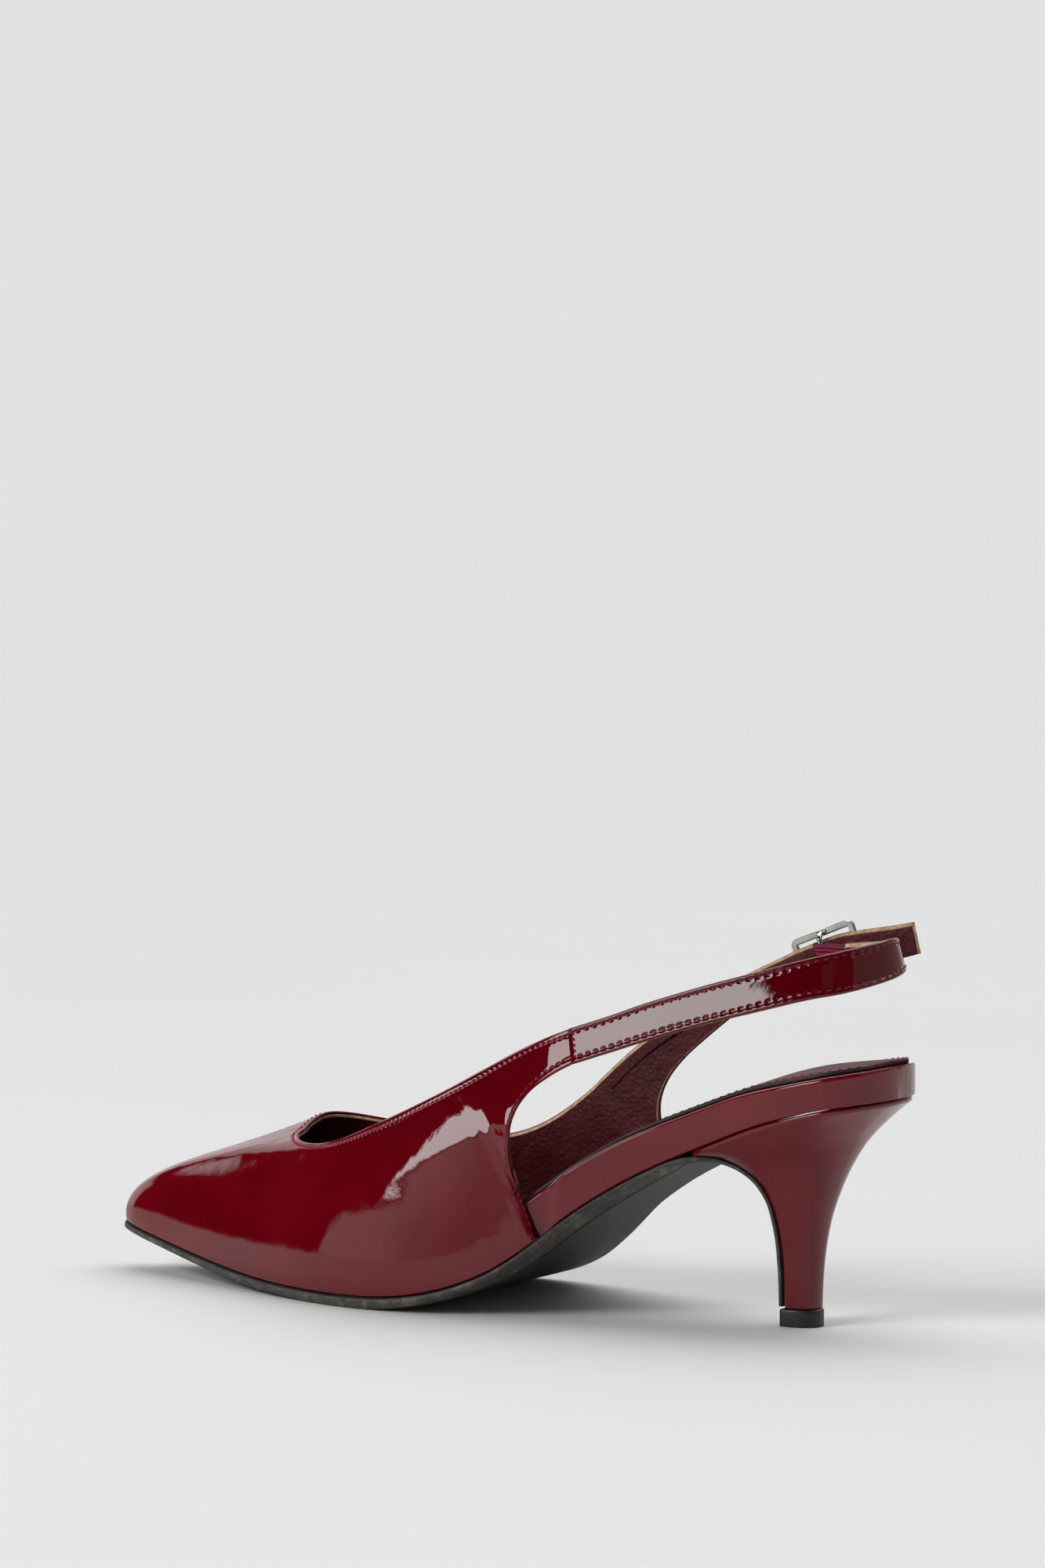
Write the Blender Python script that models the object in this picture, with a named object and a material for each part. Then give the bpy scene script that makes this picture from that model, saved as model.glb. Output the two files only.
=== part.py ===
"""Slingback pump for the right foot: pointed toe, low throat, curved heel and a buckled heel strap.

Metres, +Z up.  X runs from the toe (minus) to the heel (plus), minus Y is the inner side of the
foot, and the origin is the tread point of the ball on the floor.
"""

import math

import bmesh
import bpy
import numpy as np

SHOE_LENGTH = 0.2500
BALL_WIDTH = 0.0750
HALF_BALL = BALL_WIDTH / 2
SEAT_HEIGHT = 0.0625
BALL_SHARE = 0.402
BALL_UP = 0.054

UPPER_WALL = 0.0016
GAP = 0.0003

SOLE_THICKNESS = 0.00307
SOLE_WELT = 0.0004
WELT_ENDS = 0.65
SOLE_TOE_LEAD = 0.0003
SOLE_RINGS = 38
FLAP_BEVEL = 0.0002
FLAP_UPRIGHT = 0.7
FLAP_RINGS = 18
BOARD_THICKNESS = 0.0100
BOARD_EDGE = 0.0012
BOARD_FLARE = 0.0040
BOARD_SHOWS = 0.71
BOARD_DRAFT = 0.02
BOARD_TOE = 0.018
BOARD_BACK = 0.00015
BOARD_RINGS = 34
FADE = 0.05
BACK_FROM = 0.90
BACK_RINGS = 12
SMALL_WIDTH = 0.0008
SOCK_THICKNESS = 0.0010
SOCK_PAD = 0.0018
SOCK_PAD_AT = 0.905
SOCK_PAD_REACH = 0.055
SOCK_MARGIN = 0.0018
SOCK_BACK = 0.0040
SOCK_TOE = 0.05
SOCK_RINGS = 28

TOP_PIECE_HEIGHT = 0.0047
TOP_PIECE_CHAMFER = 0.0004
TOP_PIECE_LEAD = 0.0010

STRAP_THICKNESS = 0.0020
TAIL_THICKNESS = 0.0013

BUCKLE_LENGTH = 0.0202
BUCKLE_HEIGHT = 0.0154
BUCKLE_WIRE = 0.0009
BUCKLE_CORNER = 0.0016
BUCKLE_TILT = math.radians(21.0)
BUCKLE_ROW = 5
BUCKLE_LOWERED = 0.0006
STRAP_PLAY = 0.0005
BAR_WIRE = 0.0008
BAR_INSET = 0.0030
PRONG_WIRE = 0.00055
ELASTIC_THICKNESS = 0.0009
ELASTIC_WIDTH = 0.0080
ELASTIC_SLACK = 0.0004
ELASTIC_INSET = 0.0007
SLIT_WIDTH = 0.0023
TUBE_SIDES = 10
PRONG_SIDES = 8

# shares of a half width where the level rows of the sole and the sock have their points
ACROSS = np.array([-1.0, -0.75, -0.4, 0.0, 0.4, 0.75, 1.0])

# along: share of SHOE_LENGTH from the toe; inner and outer: shares of HALF_BALL
OUTLINE = (
    # along, inner, outer
    (0.008, 0.000, 0.000),
    (0.013, 0.105, 0.100),
    (0.026, 0.175, 0.170),
    (0.049, 0.245, 0.235),
    (0.090, 0.340, 0.325),
    (0.150, 0.480, 0.455),
    (0.220, 0.655, 0.620),
    (0.290, 0.820, 0.780),
    (0.350, 0.930, 0.895),
    (0.410, 0.995, 0.970),
    (0.465, 1.000, 1.005),
    (0.520, 0.950, 0.990),
    (0.570, 0.865, 0.925),
    (0.620, 0.750, 0.830),
    (0.680, 0.640, 0.715),
    (0.740, 0.570, 0.635),
    (0.800, 0.560, 0.600),
    (0.860, 0.590, 0.610),
    (0.920, 0.605, 0.615),
    (0.962, 0.550, 0.555),
    (0.989, 0.395, 0.400),
    (1.001, 0.190, 0.190),
    (1.004, 0.000, 0.000),
)

# height of the underside of the upper and the insole board, as a share of SEAT_HEIGHT
FEATHER = (
    # along, up
    (0.000, 0.226),
    (0.030, 0.203),
    (0.082, 0.164),
    (0.155, 0.114),
    (0.210, 0.085),
    (0.274, 0.063),
    (0.342, 0.054),
    (0.402, 0.054),
    (0.450, 0.064),
    (0.500, 0.096),
    (0.540, 0.146),
    (0.570, 0.202),
    (0.598, 0.276),
    (0.620, 0.346),
    (0.642, 0.420),
    (0.702, 0.584),
    (0.754, 0.693),
    (0.786, 0.749),
    (0.822, 0.808),
    (0.866, 0.878),
    (0.910, 0.933),
    (0.952, 0.973),
    (1.004, 1.005),
)

# thick: share of BOARD_THICKNESS
BOARD = (
    # along, thick
    (0.000, 0.22),
    (0.300, 0.28),
    (0.420, 0.32),
    (0.480, 0.44),
    (0.530, 0.80),
    (0.570, 1.14),
    (0.605, 1.30),
    (0.640, 1.25),
    (0.700, 1.16),
    (0.760, 1.06),
    (0.840, 0.99),
    (0.910, 0.87),
    (1.004, 0.87),
)

# thick: share of SOLE_THICKNESS; bevel: inset of the bottom edge as a share of HALF_BALL; edge:
# upright part of the side as a share of the thickness
SOLE = (
    # along, thick, bevel, edge
    (0.000, 0.58, 0.012, 0.75),
    (0.120, 0.74, 0.018, 0.75),
    (0.240, 0.93, 0.022, 0.75),
    (0.330, 1.03, 0.024, 0.75),
    (0.430, 1.10, 0.028, 0.75),
    (0.480, 1.03, 0.050, 0.70),
    (0.540, 0.98, 0.120, 0.50),
    (0.620, 1.00, 0.210, 0.25),
    (0.700, 1.00, 0.210, 0.20),
    (0.765, 0.88, 0.120, 0.30),
)

# the sole's flap down the front of the heel: up as above, wide a share of HALF_BALL, thick as above
FLAP = (
    # along, up, wide, thick
    (0.7860, 0.7340, 0.520, 0.62),
    (0.8080, 0.7370, 0.470, 0.50),
    (0.8300, 0.7110, 0.400, 0.45),
    (0.8520, 0.6500, 0.335, 0.43),
    (0.8645, 0.5660, 0.275, 0.43),
    (0.8700, 0.4350, 0.205, 0.43),
    (0.8712, 0.2550, 0.145, 0.43),
    (0.8708, 0.0860, 0.118, 0.43),
)

# heel levels from the top piece up: front and back points, half widths at the front and beside
HEEL = (
    # front along, front up, back along, back up, front wide, side wide, square
    (0.8745, 0.0800, 0.9078, 0.0800, 0.124, 0.142, 2.3),
    (0.8748, 0.2080, 0.9088, 0.2080, 0.140, 0.148, 2.3),
    (0.8742, 0.3300, 0.9118, 0.3360, 0.165, 0.168, 2.3),
    (0.8725, 0.4370, 0.9176, 0.4640, 0.205, 0.211, 2.3),
    (0.8690, 0.5300, 0.9270, 0.5800, 0.252, 0.258, 2.35),
    (0.8612, 0.6150, 0.9390, 0.6890, 0.308, 0.320, 2.4),
    (0.8466, 0.6830, 0.9566, 0.8060, 0.376, 0.396, 2.6),
    (0.8250, 0.7310, 0.9780, 0.9020, 0.456, 0.500, 2.9),
)
HEEL_FRONT = 0.7960
HEEL_LIP = 0.0012
HEEL_INSET = 0.0008
HEEL_TURNS = 16
HEEL_RINGS = 22
TURN_TRIM = 0.02

# one row for each rib of the upper, from the toe's centre to the strap seam.  top: the topline
# point (along, out, up); lean and run: how far the rib follows its chord in plan at its foot and
# at its top; rise and drop: shares of the rib's height; bulge: share of HALF_BALL
RIBS_INNER = (
    # along, out, up, lean, rise, run, drop, bulge
    (0.2468, -0.027, 0.693, 0.00, 0.54, 0.44, 0.28, 0.080),
    (0.2476, 0.027, 0.686, 0.00, 0.54, 0.44, 0.28, 0.080),
    (0.2492, 0.080, 0.679, 0.00, 0.53, 0.45, 0.27, 0.078),
    (0.2528, 0.133, 0.671, 0.00, 0.52, 0.46, 0.25, 0.074),
    (0.2588, 0.192, 0.665, 0.00, 0.50, 0.48, 0.22, 0.070),
    (0.2692, 0.261, 0.659, 0.00, 0.48, 0.51, 0.18, 0.070),
    (0.2860, 0.336, 0.657, 0.00, 0.46, 0.54, 0.15, 0.074),
    (0.3100, 0.416, 0.665, 0.00, 0.45, 0.55, 0.14, 0.081),
    (0.3360, 0.507, 0.688, 0.00, 0.44, 0.52, 0.14, 0.086),
    (0.3660, 0.597, 0.725, 0.02, 0.44, 0.46, 0.14, 0.084),
    (0.3980, 0.682, 0.773, 0.06, 0.44, 0.40, 0.16, 0.078),
    (0.4340, 0.747, 0.832, 0.12, 0.42, 0.36, 0.20, 0.070),
    (0.4740, 0.792, 0.902, 0.19, 0.39, 0.34, 0.25, 0.062),
    (0.5180, 0.819, 0.985, 0.26, 0.36, 0.33, 0.30, 0.052),
    (0.5400, 0.827, 1.030, 0.30, 0.34, 0.33, 0.32, 0.036),
    (0.5600, 0.829, 1.072, 0.33, 0.33, 0.33, 0.33, 0.024),
    (0.5800, 0.827, 1.114, 0.33, 0.33, 0.33, 0.33, 0.016),
    (0.6000, 0.819, 1.156, 0.33, 0.33, 0.33, 0.33, 0.010),
    (0.6220, 0.805, 1.199, 0.33, 0.33, 0.33, 0.33, 0.008),
    (0.6432, 0.789, 1.236, 0.33, 0.33, 0.33, 0.33, 0.006),
    (0.6628, 0.773, 1.267, 0.33, 0.33, 0.33, 0.33, 0.004),
)

RIBS_OUTER = (
    # along, out, up, lean, rise, run, drop, bulge
    (0.2468, 0.027, 0.693, 0.00, 0.54, 0.44, 0.28, 0.080),
    (0.2468, 0.080, 0.709, 0.00, 0.54, 0.44, 0.28, 0.080),
    (0.2476, 0.139, 0.725, 0.00, 0.53, 0.45, 0.27, 0.078),
    (0.2492, 0.203, 0.740, 0.00, 0.52, 0.46, 0.25, 0.074),
    (0.2532, 0.283, 0.751, 0.00, 0.51, 0.48, 0.21, 0.070),
    (0.2604, 0.373, 0.750, 0.00, 0.49, 0.51, 0.16, 0.070),
    (0.2728, 0.480, 0.739, 0.00, 0.47, 0.54, 0.12, 0.074),
    (0.2920, 0.581, 0.721, 0.00, 0.46, 0.52, 0.12, 0.081),
    (0.3180, 0.656, 0.701, 0.00, 0.45, 0.48, 0.13, 0.086),
    (0.3500, 0.715, 0.686, 0.02, 0.45, 0.44, 0.15, 0.084),
    (0.3860, 0.752, 0.668, 0.05, 0.45, 0.40, 0.17, 0.078),
    (0.4260, 0.773, 0.660, 0.10, 0.43, 0.36, 0.20, 0.084),
    (0.4660, 0.781, 0.688, 0.16, 0.40, 0.34, 0.24, 0.092),
    (0.5060, 0.787, 0.758, 0.22, 0.37, 0.33, 0.28, 0.094),
    (0.5480, 0.789, 0.872, 0.28, 0.35, 0.33, 0.31, 0.084),
    (0.5720, 0.792, 0.958, 0.32, 0.34, 0.33, 0.32, 0.060),
    (0.5940, 0.789, 1.036, 0.33, 0.33, 0.33, 0.33, 0.036),
    (0.6160, 0.784, 1.107, 0.33, 0.33, 0.33, 0.33, 0.020),
    (0.6400, 0.773, 1.174, 0.33, 0.33, 0.33, 0.33, 0.010),
    (0.6680, 0.760, 1.242, 0.33, 0.33, 0.33, 0.33, 0.008),
    (0.7000, 0.739, 1.319, 0.33, 0.33, 0.33, 0.33, 0.006),
    (0.7340, 0.709, 1.397, 0.33, 0.33, 0.33, 0.33, 0.004),
)

# the cut-out edge behind each quarter, from the row after the waist corner to the strap seam
CUTOUT_INNER = (
    # along, out, up
    (0.6020, 0.757, 0.512),
    (0.5912, 0.800, 0.640),
    (0.5908, 0.832, 0.760),
    (0.5980, 0.837, 0.877),
    (0.6160, 0.824, 0.981),
    (0.6412, 0.805, 1.058),
    (0.6684, 0.784, 1.117),
)

CUTOUT_OUTER = (
    # along, out, up
    (0.6640, 0.728, 0.648),
    (0.6500, 0.747, 0.760),
    (0.6468, 0.768, 0.864),
    (0.6564, 0.779, 0.966),
    (0.6780, 0.773, 1.066),
    (0.7072, 0.757, 1.162),
    (0.7392, 0.731, 1.258),
)

# the heel strap from the inner seam round the back to the elastic: outer face, both edges
SLING = (
    # top along, top out, top up, bottom along, bottom out, bottom up
    (0.6646, -0.781, 1.272, 0.6702, -0.792, 1.119),
    (0.7120, -0.755, 1.335, 0.7144, -0.776, 1.178),
    (0.7564, -0.728, 1.399, 0.7588, -0.752, 1.237),
    (0.8212, -0.675, 1.481, 0.8256, -0.712, 1.319),
    (0.8740, -0.611, 1.541, 0.8784, -0.659, 1.376),
    (0.9260, -0.509, 1.601, 0.9316, -0.568, 1.433),
    (0.9640, -0.371, 1.641, 0.9724, -0.421, 1.467),
    (0.9820, -0.184, 1.665, 0.9905, -0.200, 1.493),
    (0.9880, 0.029, 1.677, 0.9965, 0.035, 1.514),
    (0.9810, 0.235, 1.672, 0.9890, 0.260, 1.528),
    (0.9620, 0.400, 1.652, 0.9700, 0.440, 1.522),
    (0.9290, 0.496, 1.636, 0.9330, 0.536, 1.492),
    (0.8964, 0.541, 1.622, 0.8992, 0.581, 1.474),
)

# the buckle strap from the outer seam to its free end, before it is woven through the buckle
TAIL = (
    # top along, top out, top up, bottom along, bottom out, bottom up
    (0.7358, 0.707, 1.402, 0.7408, 0.731, 1.263),
    (0.7620, 0.695, 1.456, 0.7652, 0.712, 1.312),
    (0.7940, 0.672, 1.514, 0.7972, 0.680, 1.366),
    (0.8240, 0.660, 1.569, 0.8276, 0.662, 1.422),
    (0.8470, 0.660, 1.611, 0.8506, 0.660, 1.464),
    (0.8610, 0.660, 1.634, 0.8646, 0.660, 1.487),
    (0.8770, 0.660, 1.653, 0.8806, 0.660, 1.505),
    (0.8960, 0.660, 1.669, 0.8996, 0.660, 1.521),
    (0.9200, 0.684, 1.685, 0.9242, 0.690, 1.536),
    (0.9400, 0.712, 1.698, 0.9455, 0.724, 1.553),
    (0.9612, 0.747, 1.715, 0.9688, 0.757, 1.579),
)

# the centre bar's bow from a rail to its middle: height a share of the frame's half height, depth
# a share of BAR_INSET
BAR_BOW = (
    # height, depth
    (1.00, 0.00),
    (0.96, 0.22),
    (0.91, 0.50),
    (0.84, 0.78),
    (0.74, 0.95),
    (0.62, 1.00),
)

# the prong's way from its loop through the buckle strap to the front end of the frame: along a
# share of half BUCKLE_LENGTH; depth from zero, laid on the frame, to one, level with the bar
PRONG = (
    # along, depth
    (0.220, 0.770),
    (0.330, 0.475),
    (0.510, 0.180),
    (0.710, 0.035),
    (0.910, 0.000),
    (1.050, 0.000),
)

PATENT = ("patent_leather", (0.16, 0.004, 0.012, 1.0), 0.12, 0.0)
LINING = ("lining_leather", (0.10, 0.012, 0.018, 1.0), 0.55, 0.0)
RUBBER = ("sole_rubber", (0.03, 0.03, 0.032, 1.0), 0.60, 0.0)
METAL = ("buckle_metal", (0.80, 0.79, 0.77, 1.0), 0.18, 1.0)
WEBBING = ("elastic_webbing", (0.35, 0.01, 0.06, 1.0), 0.80, 0.0)


def column(rows, index):
    """One column of a table."""
    return np.array([row[index] for row in rows], dtype=float)


def smooth(stations, values):
    """A smooth curve through a table's column, as a function of its stations."""
    at = np.asarray(stations, dtype=float)
    level = np.asarray(values, dtype=float)
    step = np.diff(at)
    slope = np.diff(level, axis=0) / (step if level.ndim == 1 else step[:, None])
    tangent = np.empty_like(level)
    before = step[:-1] if level.ndim == 1 else step[:-1, None]
    after = step[1:] if level.ndim == 1 else step[1:, None]
    tangent[1:-1] = (after * slope[:-1] + before * slope[1:]) / (before + after)
    tangent[0] = 1.5 * slope[0] - 0.5 * tangent[1]
    tangent[-1] = 1.5 * slope[-1] - 0.5 * tangent[-2]

    def curve(place):
        place = np.clip(np.asarray(place, dtype=float), at[0], at[-1])
        i = np.clip(np.searchsorted(at, place) - 1, 0, len(step) - 1)
        t = (place - at[i]) / step[i]
        h = step[i]
        if level.ndim > 1:
            t = t[..., None]
            h = h[..., None]
        return (
            level[i] * (1 + 2 * t) * (1 - t) ** 2
            + tangent[i] * h * t * (1 - t) ** 2
            + level[i + 1] * t * t * (3 - 2 * t)
            + tangent[i + 1] * h * t * t * (t - 1)
        )

    return curve


def along(share):
    """X of a share of the shoe's length from the toe."""
    return (np.asarray(share, dtype=float) - BALL_SHARE) * SHOE_LENGTH


def rise(share):
    """Z of a share of the seat's height, counted so that the sole meets the floor at the ball."""
    return SOLE_THICKNESS + GAP + (np.asarray(share, dtype=float) - BALL_UP) * SEAT_HEIGHT


def fade(share, end):
    """One up to a little before an end share, then down to zero at it."""
    return min(1.0, max(0.0, (end - share) / FADE))


feather_curve = smooth(along(column(FEATHER, 0)), rise(column(FEATHER, 1)))
board_curve = smooth(along(column(BOARD, 0)), column(BOARD, 1) * BOARD_THICKNESS)


def outline_knots():
    """The feather line's knots from the outer back round the toe to the inner back."""
    x = along(column(OUTLINE, 0))
    inner = np.stack([x, -column(OUTLINE, 1) * HALF_BALL], axis=1)
    outer = np.stack([x, column(OUTLINE, 2) * HALF_BALL], axis=1)
    return np.concatenate([outer[:0:-1], inner])


KNOTS = outline_knots()
KNOT_STATIONS = np.concatenate([[0.0], np.cumsum(np.linalg.norm(np.diff(KNOTS, axis=0), axis=1))])
TOE_KNOT = len(OUTLINE) - 1
outline_point = smooth(KNOT_STATIONS, KNOTS)
station_of_row = smooth(np.arange(-TOE_KNOT, TOE_KNOT + 1), KNOT_STATIONS)
DENSE = outline_point(np.linspace(KNOT_STATIONS[0], KNOT_STATIONS[-1], 1201))
DENSE_TOE = int(np.argmin(DENSE[:, 0]))


def half_width(x, side, inset=0.0):
    """Distance of the feather line, drawn in by an inset, from the axis on one side of the shoe."""
    way = np.gradient(DENSE, axis=0)
    way /= np.linalg.norm(way, axis=1, keepdims=True)
    line = DENSE - inset * np.stack([way[:, 1], -way[:, 0]], axis=1)
    line = line[: DENSE_TOE + 1][::-1] if side > 0 else line[DENSE_TOE:]
    return np.interp(x, line[:, 0], np.abs(line[:, 1]))


def link(name, points, faces, material, smooth_shading=True):
    """Make an object from points and faces, facing outward, with its own material."""
    mesh = bpy.data.meshes.new(name)
    mesh.from_pydata([tuple(float(v) for v in p) for p in points], [], faces)
    body = bmesh.new()
    body.from_mesh(mesh)
    bmesh.ops.recalc_face_normals(body, faces=body.faces)
    body.to_mesh(mesh)
    body.free()
    for polygon in mesh.polygons:
        polygon.use_smooth = smooth_shading
    label, colour, roughness, metallic = material
    paint = bpy.data.materials.new(name + "_" + label)
    paint.use_nodes = True
    shader = paint.node_tree.nodes["Principled BSDF"]
    shader.inputs["Base Color"].default_value = colour
    shader.inputs["Roughness"].default_value = roughness
    shader.inputs["Metallic"].default_value = metallic
    mesh.materials.append(paint)
    body_object = bpy.data.objects.new(name, mesh)
    bpy.context.scene.collection.objects.link(body_object)
    return body_object


def loft(name, rings, material):
    """A solid through rings of equal count whose points pair up across, first with last."""
    count = len(rings[0])
    points = np.concatenate(rings)
    faces = []
    for r in range(len(rings) - 1):
        for k in range(count):
            a = r * count + k
            b = r * count + (k + 1) % count
            faces.append((a, b, b + count, a + count))
    for start in (0, (len(rings) - 1) * count):
        for k in range(count // 2 - 1):
            quad = (start + k, start + k + 1, start + count - 2 - k, start + count - 1 - k)
            faces.append(quad)
    return link(name, points, faces, material)


def toe_spaced(first, last, count, crowd):
    """Shares between two ends, closer together towards the toe."""
    step = np.linspace(0, 1, count)
    return first + (last - first) * (crowd * step * step + (1 - crowd) * step)


def heel_spaced(first, last, count):
    """Shares between two ends, closer together towards the round back."""
    return first + (last - first) * np.sin(np.linspace(0, math.pi / 2, count))


def flat_row(x, across, inner, outer, height):
    """Level points across the shoe from its inner to its outer side."""
    y = np.where(across < 0, across * inner, across * outer)
    return np.stack([np.full(len(y), x), y, np.full(len(y), 0.0) + height], axis=1)


def foot_of(t):
    """A rib's foot: on the feather line, then up the cut-out edge behind the waist corner."""
    corner = INNER_CORNER if t < 0 else OUTER_CORNER
    if abs(t) <= corner:
        # rows run from the toe, so inner rows lie behind the toe on the knot line
        place = outline_point(station_of_row(-t))
        return np.array([place[0], place[1], float(feather_curve(place[0]))])
    edge = cutout_inner if t < 0 else cutout_outer
    return edge(abs(t))


INNER_CORNER = 13
OUTER_CORNER = 14


def edge_curve(table, side, corner):
    """The cut-out edge from the waist corner to the strap seam, as a function of the rib's row."""
    x = float(along(OUTLINE[corner][0]))
    start = (x, side * float(half_width(x, side)), float(feather_curve(x)))
    rows = [start]
    for share, out, up in table:
        rows.append((float(along(share)), side * out * HALF_BALL, float(rise(up))))
    return smooth(np.arange(corner, corner + len(rows)), np.array(rows))


cutout_inner = edge_curve(CUTOUT_INNER, -1, INNER_CORNER)
cutout_outer = edge_curve(CUTOUT_OUTER, 1, OUTER_CORNER)


def rib_rows():
    """Topline points and rib shapes of both sides on one run of rows, inner side negative."""
    rows = []
    for row in RIBS_INNER[:0:-1]:
        rows.append((float(along(row[0])), -row[1] * HALF_BALL, float(rise(row[2]))) + row[3:])
    for row in RIBS_OUTER:
        rows.append((float(along(row[0])), row[1] * HALF_BALL, float(rise(row[2]))) + row[3:])
    return np.array(rows)


FIRST_ROW = -(len(RIBS_INNER) - 1)
LAST_ROW = len(RIBS_OUTER) - 1
rib_curve = smooth(np.arange(FIRST_ROW, LAST_ROW + 1), rib_rows())


def outward(t):
    """The level direction away from the shoe at a rib's foot."""
    t = max(-INNER_CORNER, min(OUTER_CORNER, t))
    line = outline_point(station_of_row(-t + 0.02)) - outline_point(station_of_row(-t - 0.02))
    line /= np.linalg.norm(line)
    return np.array([line[1], -line[0], 0.0])


def rib_point(t, u):
    """A point of the upper's outer face: rib t, share u of the way from its foot to the topline."""
    foot = foot_of(t)
    x, y, z, lean, rise, run, drop, bulge = rib_curve(t)
    top = np.array([x, y, z])
    chord = top - foot
    level = np.array([chord[0], chord[1], 0.0])
    height = np.array([0.0, 0.0, chord[2]])
    first = foot + lean * level + rise * height + bulge * HALF_BALL * outward(t)
    second = top - run * level - drop * height
    v = 1 - u
    return v**3 * foot + 3 * v * v * u * first + 3 * v * u * u * second + u**3 * top


def upper_grid(ribs, levels):
    """The outer face and the offset inner face on a grid of ribs and levels."""
    outer = np.array([[rib_point(t, u) for u in levels] for t in ribs])
    du = np.gradient(outer, axis=1)
    dt = np.gradient(outer, axis=0)
    normal = np.cross(dt, du)
    normal /= np.linalg.norm(normal, axis=2, keepdims=True)
    if normal[len(ribs) // 2, len(levels) // 2, 2] < 0:
        normal = -normal
    inner = outer - UPPER_WALL * normal
    return outer, inner


def rib_places(steps):
    """Rows of the ribs, some steps to each table row."""
    return np.linspace(FIRST_ROW, LAST_ROW, (LAST_ROW - FIRST_ROW) * steps + 1)


def shell(name, outer, inner, material):
    """One closed solid between two grids that share their edges' order."""
    rows, cols = outer.shape[:2]
    points = np.concatenate([outer.reshape(-1, 3), inner.reshape(-1, 3)])
    shift = rows * cols
    faces = []
    for r in range(rows - 1):
        for c in range(cols - 1):
            a = r * cols + c
            quad = (a, a + 1, a + cols + 1, a + cols)
            faces.append(quad)
            faces.append(tuple(v + shift for v in reversed(quad)))
    border = [c for c in range(cols)]
    border += [r * cols + cols - 1 for r in range(1, rows)]
    border += [(rows - 1) * cols + c for c in range(cols - 2, -1, -1)]
    border += [r * cols for r in range(rows - 2, 0, -1)]
    for k in range(len(border)):
        a = border[k]
        b = border[(k + 1) % len(border)]
        faces.append((b, a, a + shift, b + shift))
    return link(name, points, faces, material)


def make_upper():
    """Vamp and both quarters as one hollow shell, open at the throat, the back and underneath."""
    ribs = rib_places(2)
    levels = np.linspace(0, 1, 11)
    outer, inner = upper_grid(ribs, levels)
    for r, t in enumerate(ribs):
        if -INNER_CORNER <= t <= OUTER_CORNER:
            inner[r, 0, 2] = feather_curve(inner[r, 0, 0])
    return shell("upper", outer, inner, PATENT)


def make_outsole():
    """The thin sole from toe to waist, turned down the front of the heel as a flap."""
    thick_curve = smooth(column(SOLE, 0), column(SOLE, 1) * SOLE_THICKNESS)
    bevel_curve = smooth(column(SOLE, 0), column(SOLE, 2) * HALF_BALL)
    upright_curve = smooth(column(SOLE, 0), column(SOLE, 3))
    tip = OUTLINE[0][0] - SOLE_TOE_LEAD / SHOE_LENGTH
    path = []
    for share in toe_spaced(tip, SOLE[-1][0], SOLE_RINGS, 0.75):
        x = float(along(share))
        welt = SOLE_WELT * fade(share, WELT_ENDS)
        inner = float(half_width(x, -1, -welt))
        outer = float(half_width(x, 1, -welt))
        top = float(feather_curve(x)) - GAP
        shape = (float(thick_curve(share)), float(bevel_curve(share)), float(upright_curve(share)))
        path.append((x, top, inner, outer) + shape)
    for share, up, wide, thick in FLAP:
        half = wide * HALF_BALL
        flap = thick * SOLE_THICKNESS
        path.append((float(along(share)), float(rise(up)), half, half, flap, FLAP_BEVEL, FLAP_UPRIGHT))
    path = np.array(path)
    path[-1, 1] = TOP_PIECE_HEIGHT + 2 * GAP
    way = np.concatenate([[0.0], np.cumsum(np.hypot(np.diff(path[:, 0]), np.diff(path[:, 1])))])
    run = smooth(way, path)
    flap_start = way[-len(FLAP) - 1]
    places = np.concatenate([way[: -len(FLAP)], np.linspace(flap_start, way[-1], FLAP_RINGS + 1)[1:]])
    rings = []
    for place in places:
        x, z, inner, outer, thick, bevel, edge = run(place)
        line = run(min(place + 0.0005, way[-1])) - run(max(place - 0.0005, way[0]))
        line = line[:2] / np.linalg.norm(line[:2])
        bevel = min(bevel, 0.4 * min(inner, outer))
        top = flat_row(x, ACROSS, inner, outer, z)
        low = flat_row(x, ACROSS, inner - bevel, outer - bevel, z)
        low[:, 0] += line[1] * thick
        low[:, 2] = np.maximum(0.0, low[:, 2] - line[0] * thick)
        side = top[[0, -1]].copy()
        side[:, 0] += line[1] * thick * edge
        side[:, 2] -= line[0] * thick * edge
        rings.append(np.concatenate([top, side[1:], low[::-1], side[:1]]))
    return loft("outsole", [np.roll(ring, 1, axis=0) for ring in rings], RUBBER)


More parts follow.
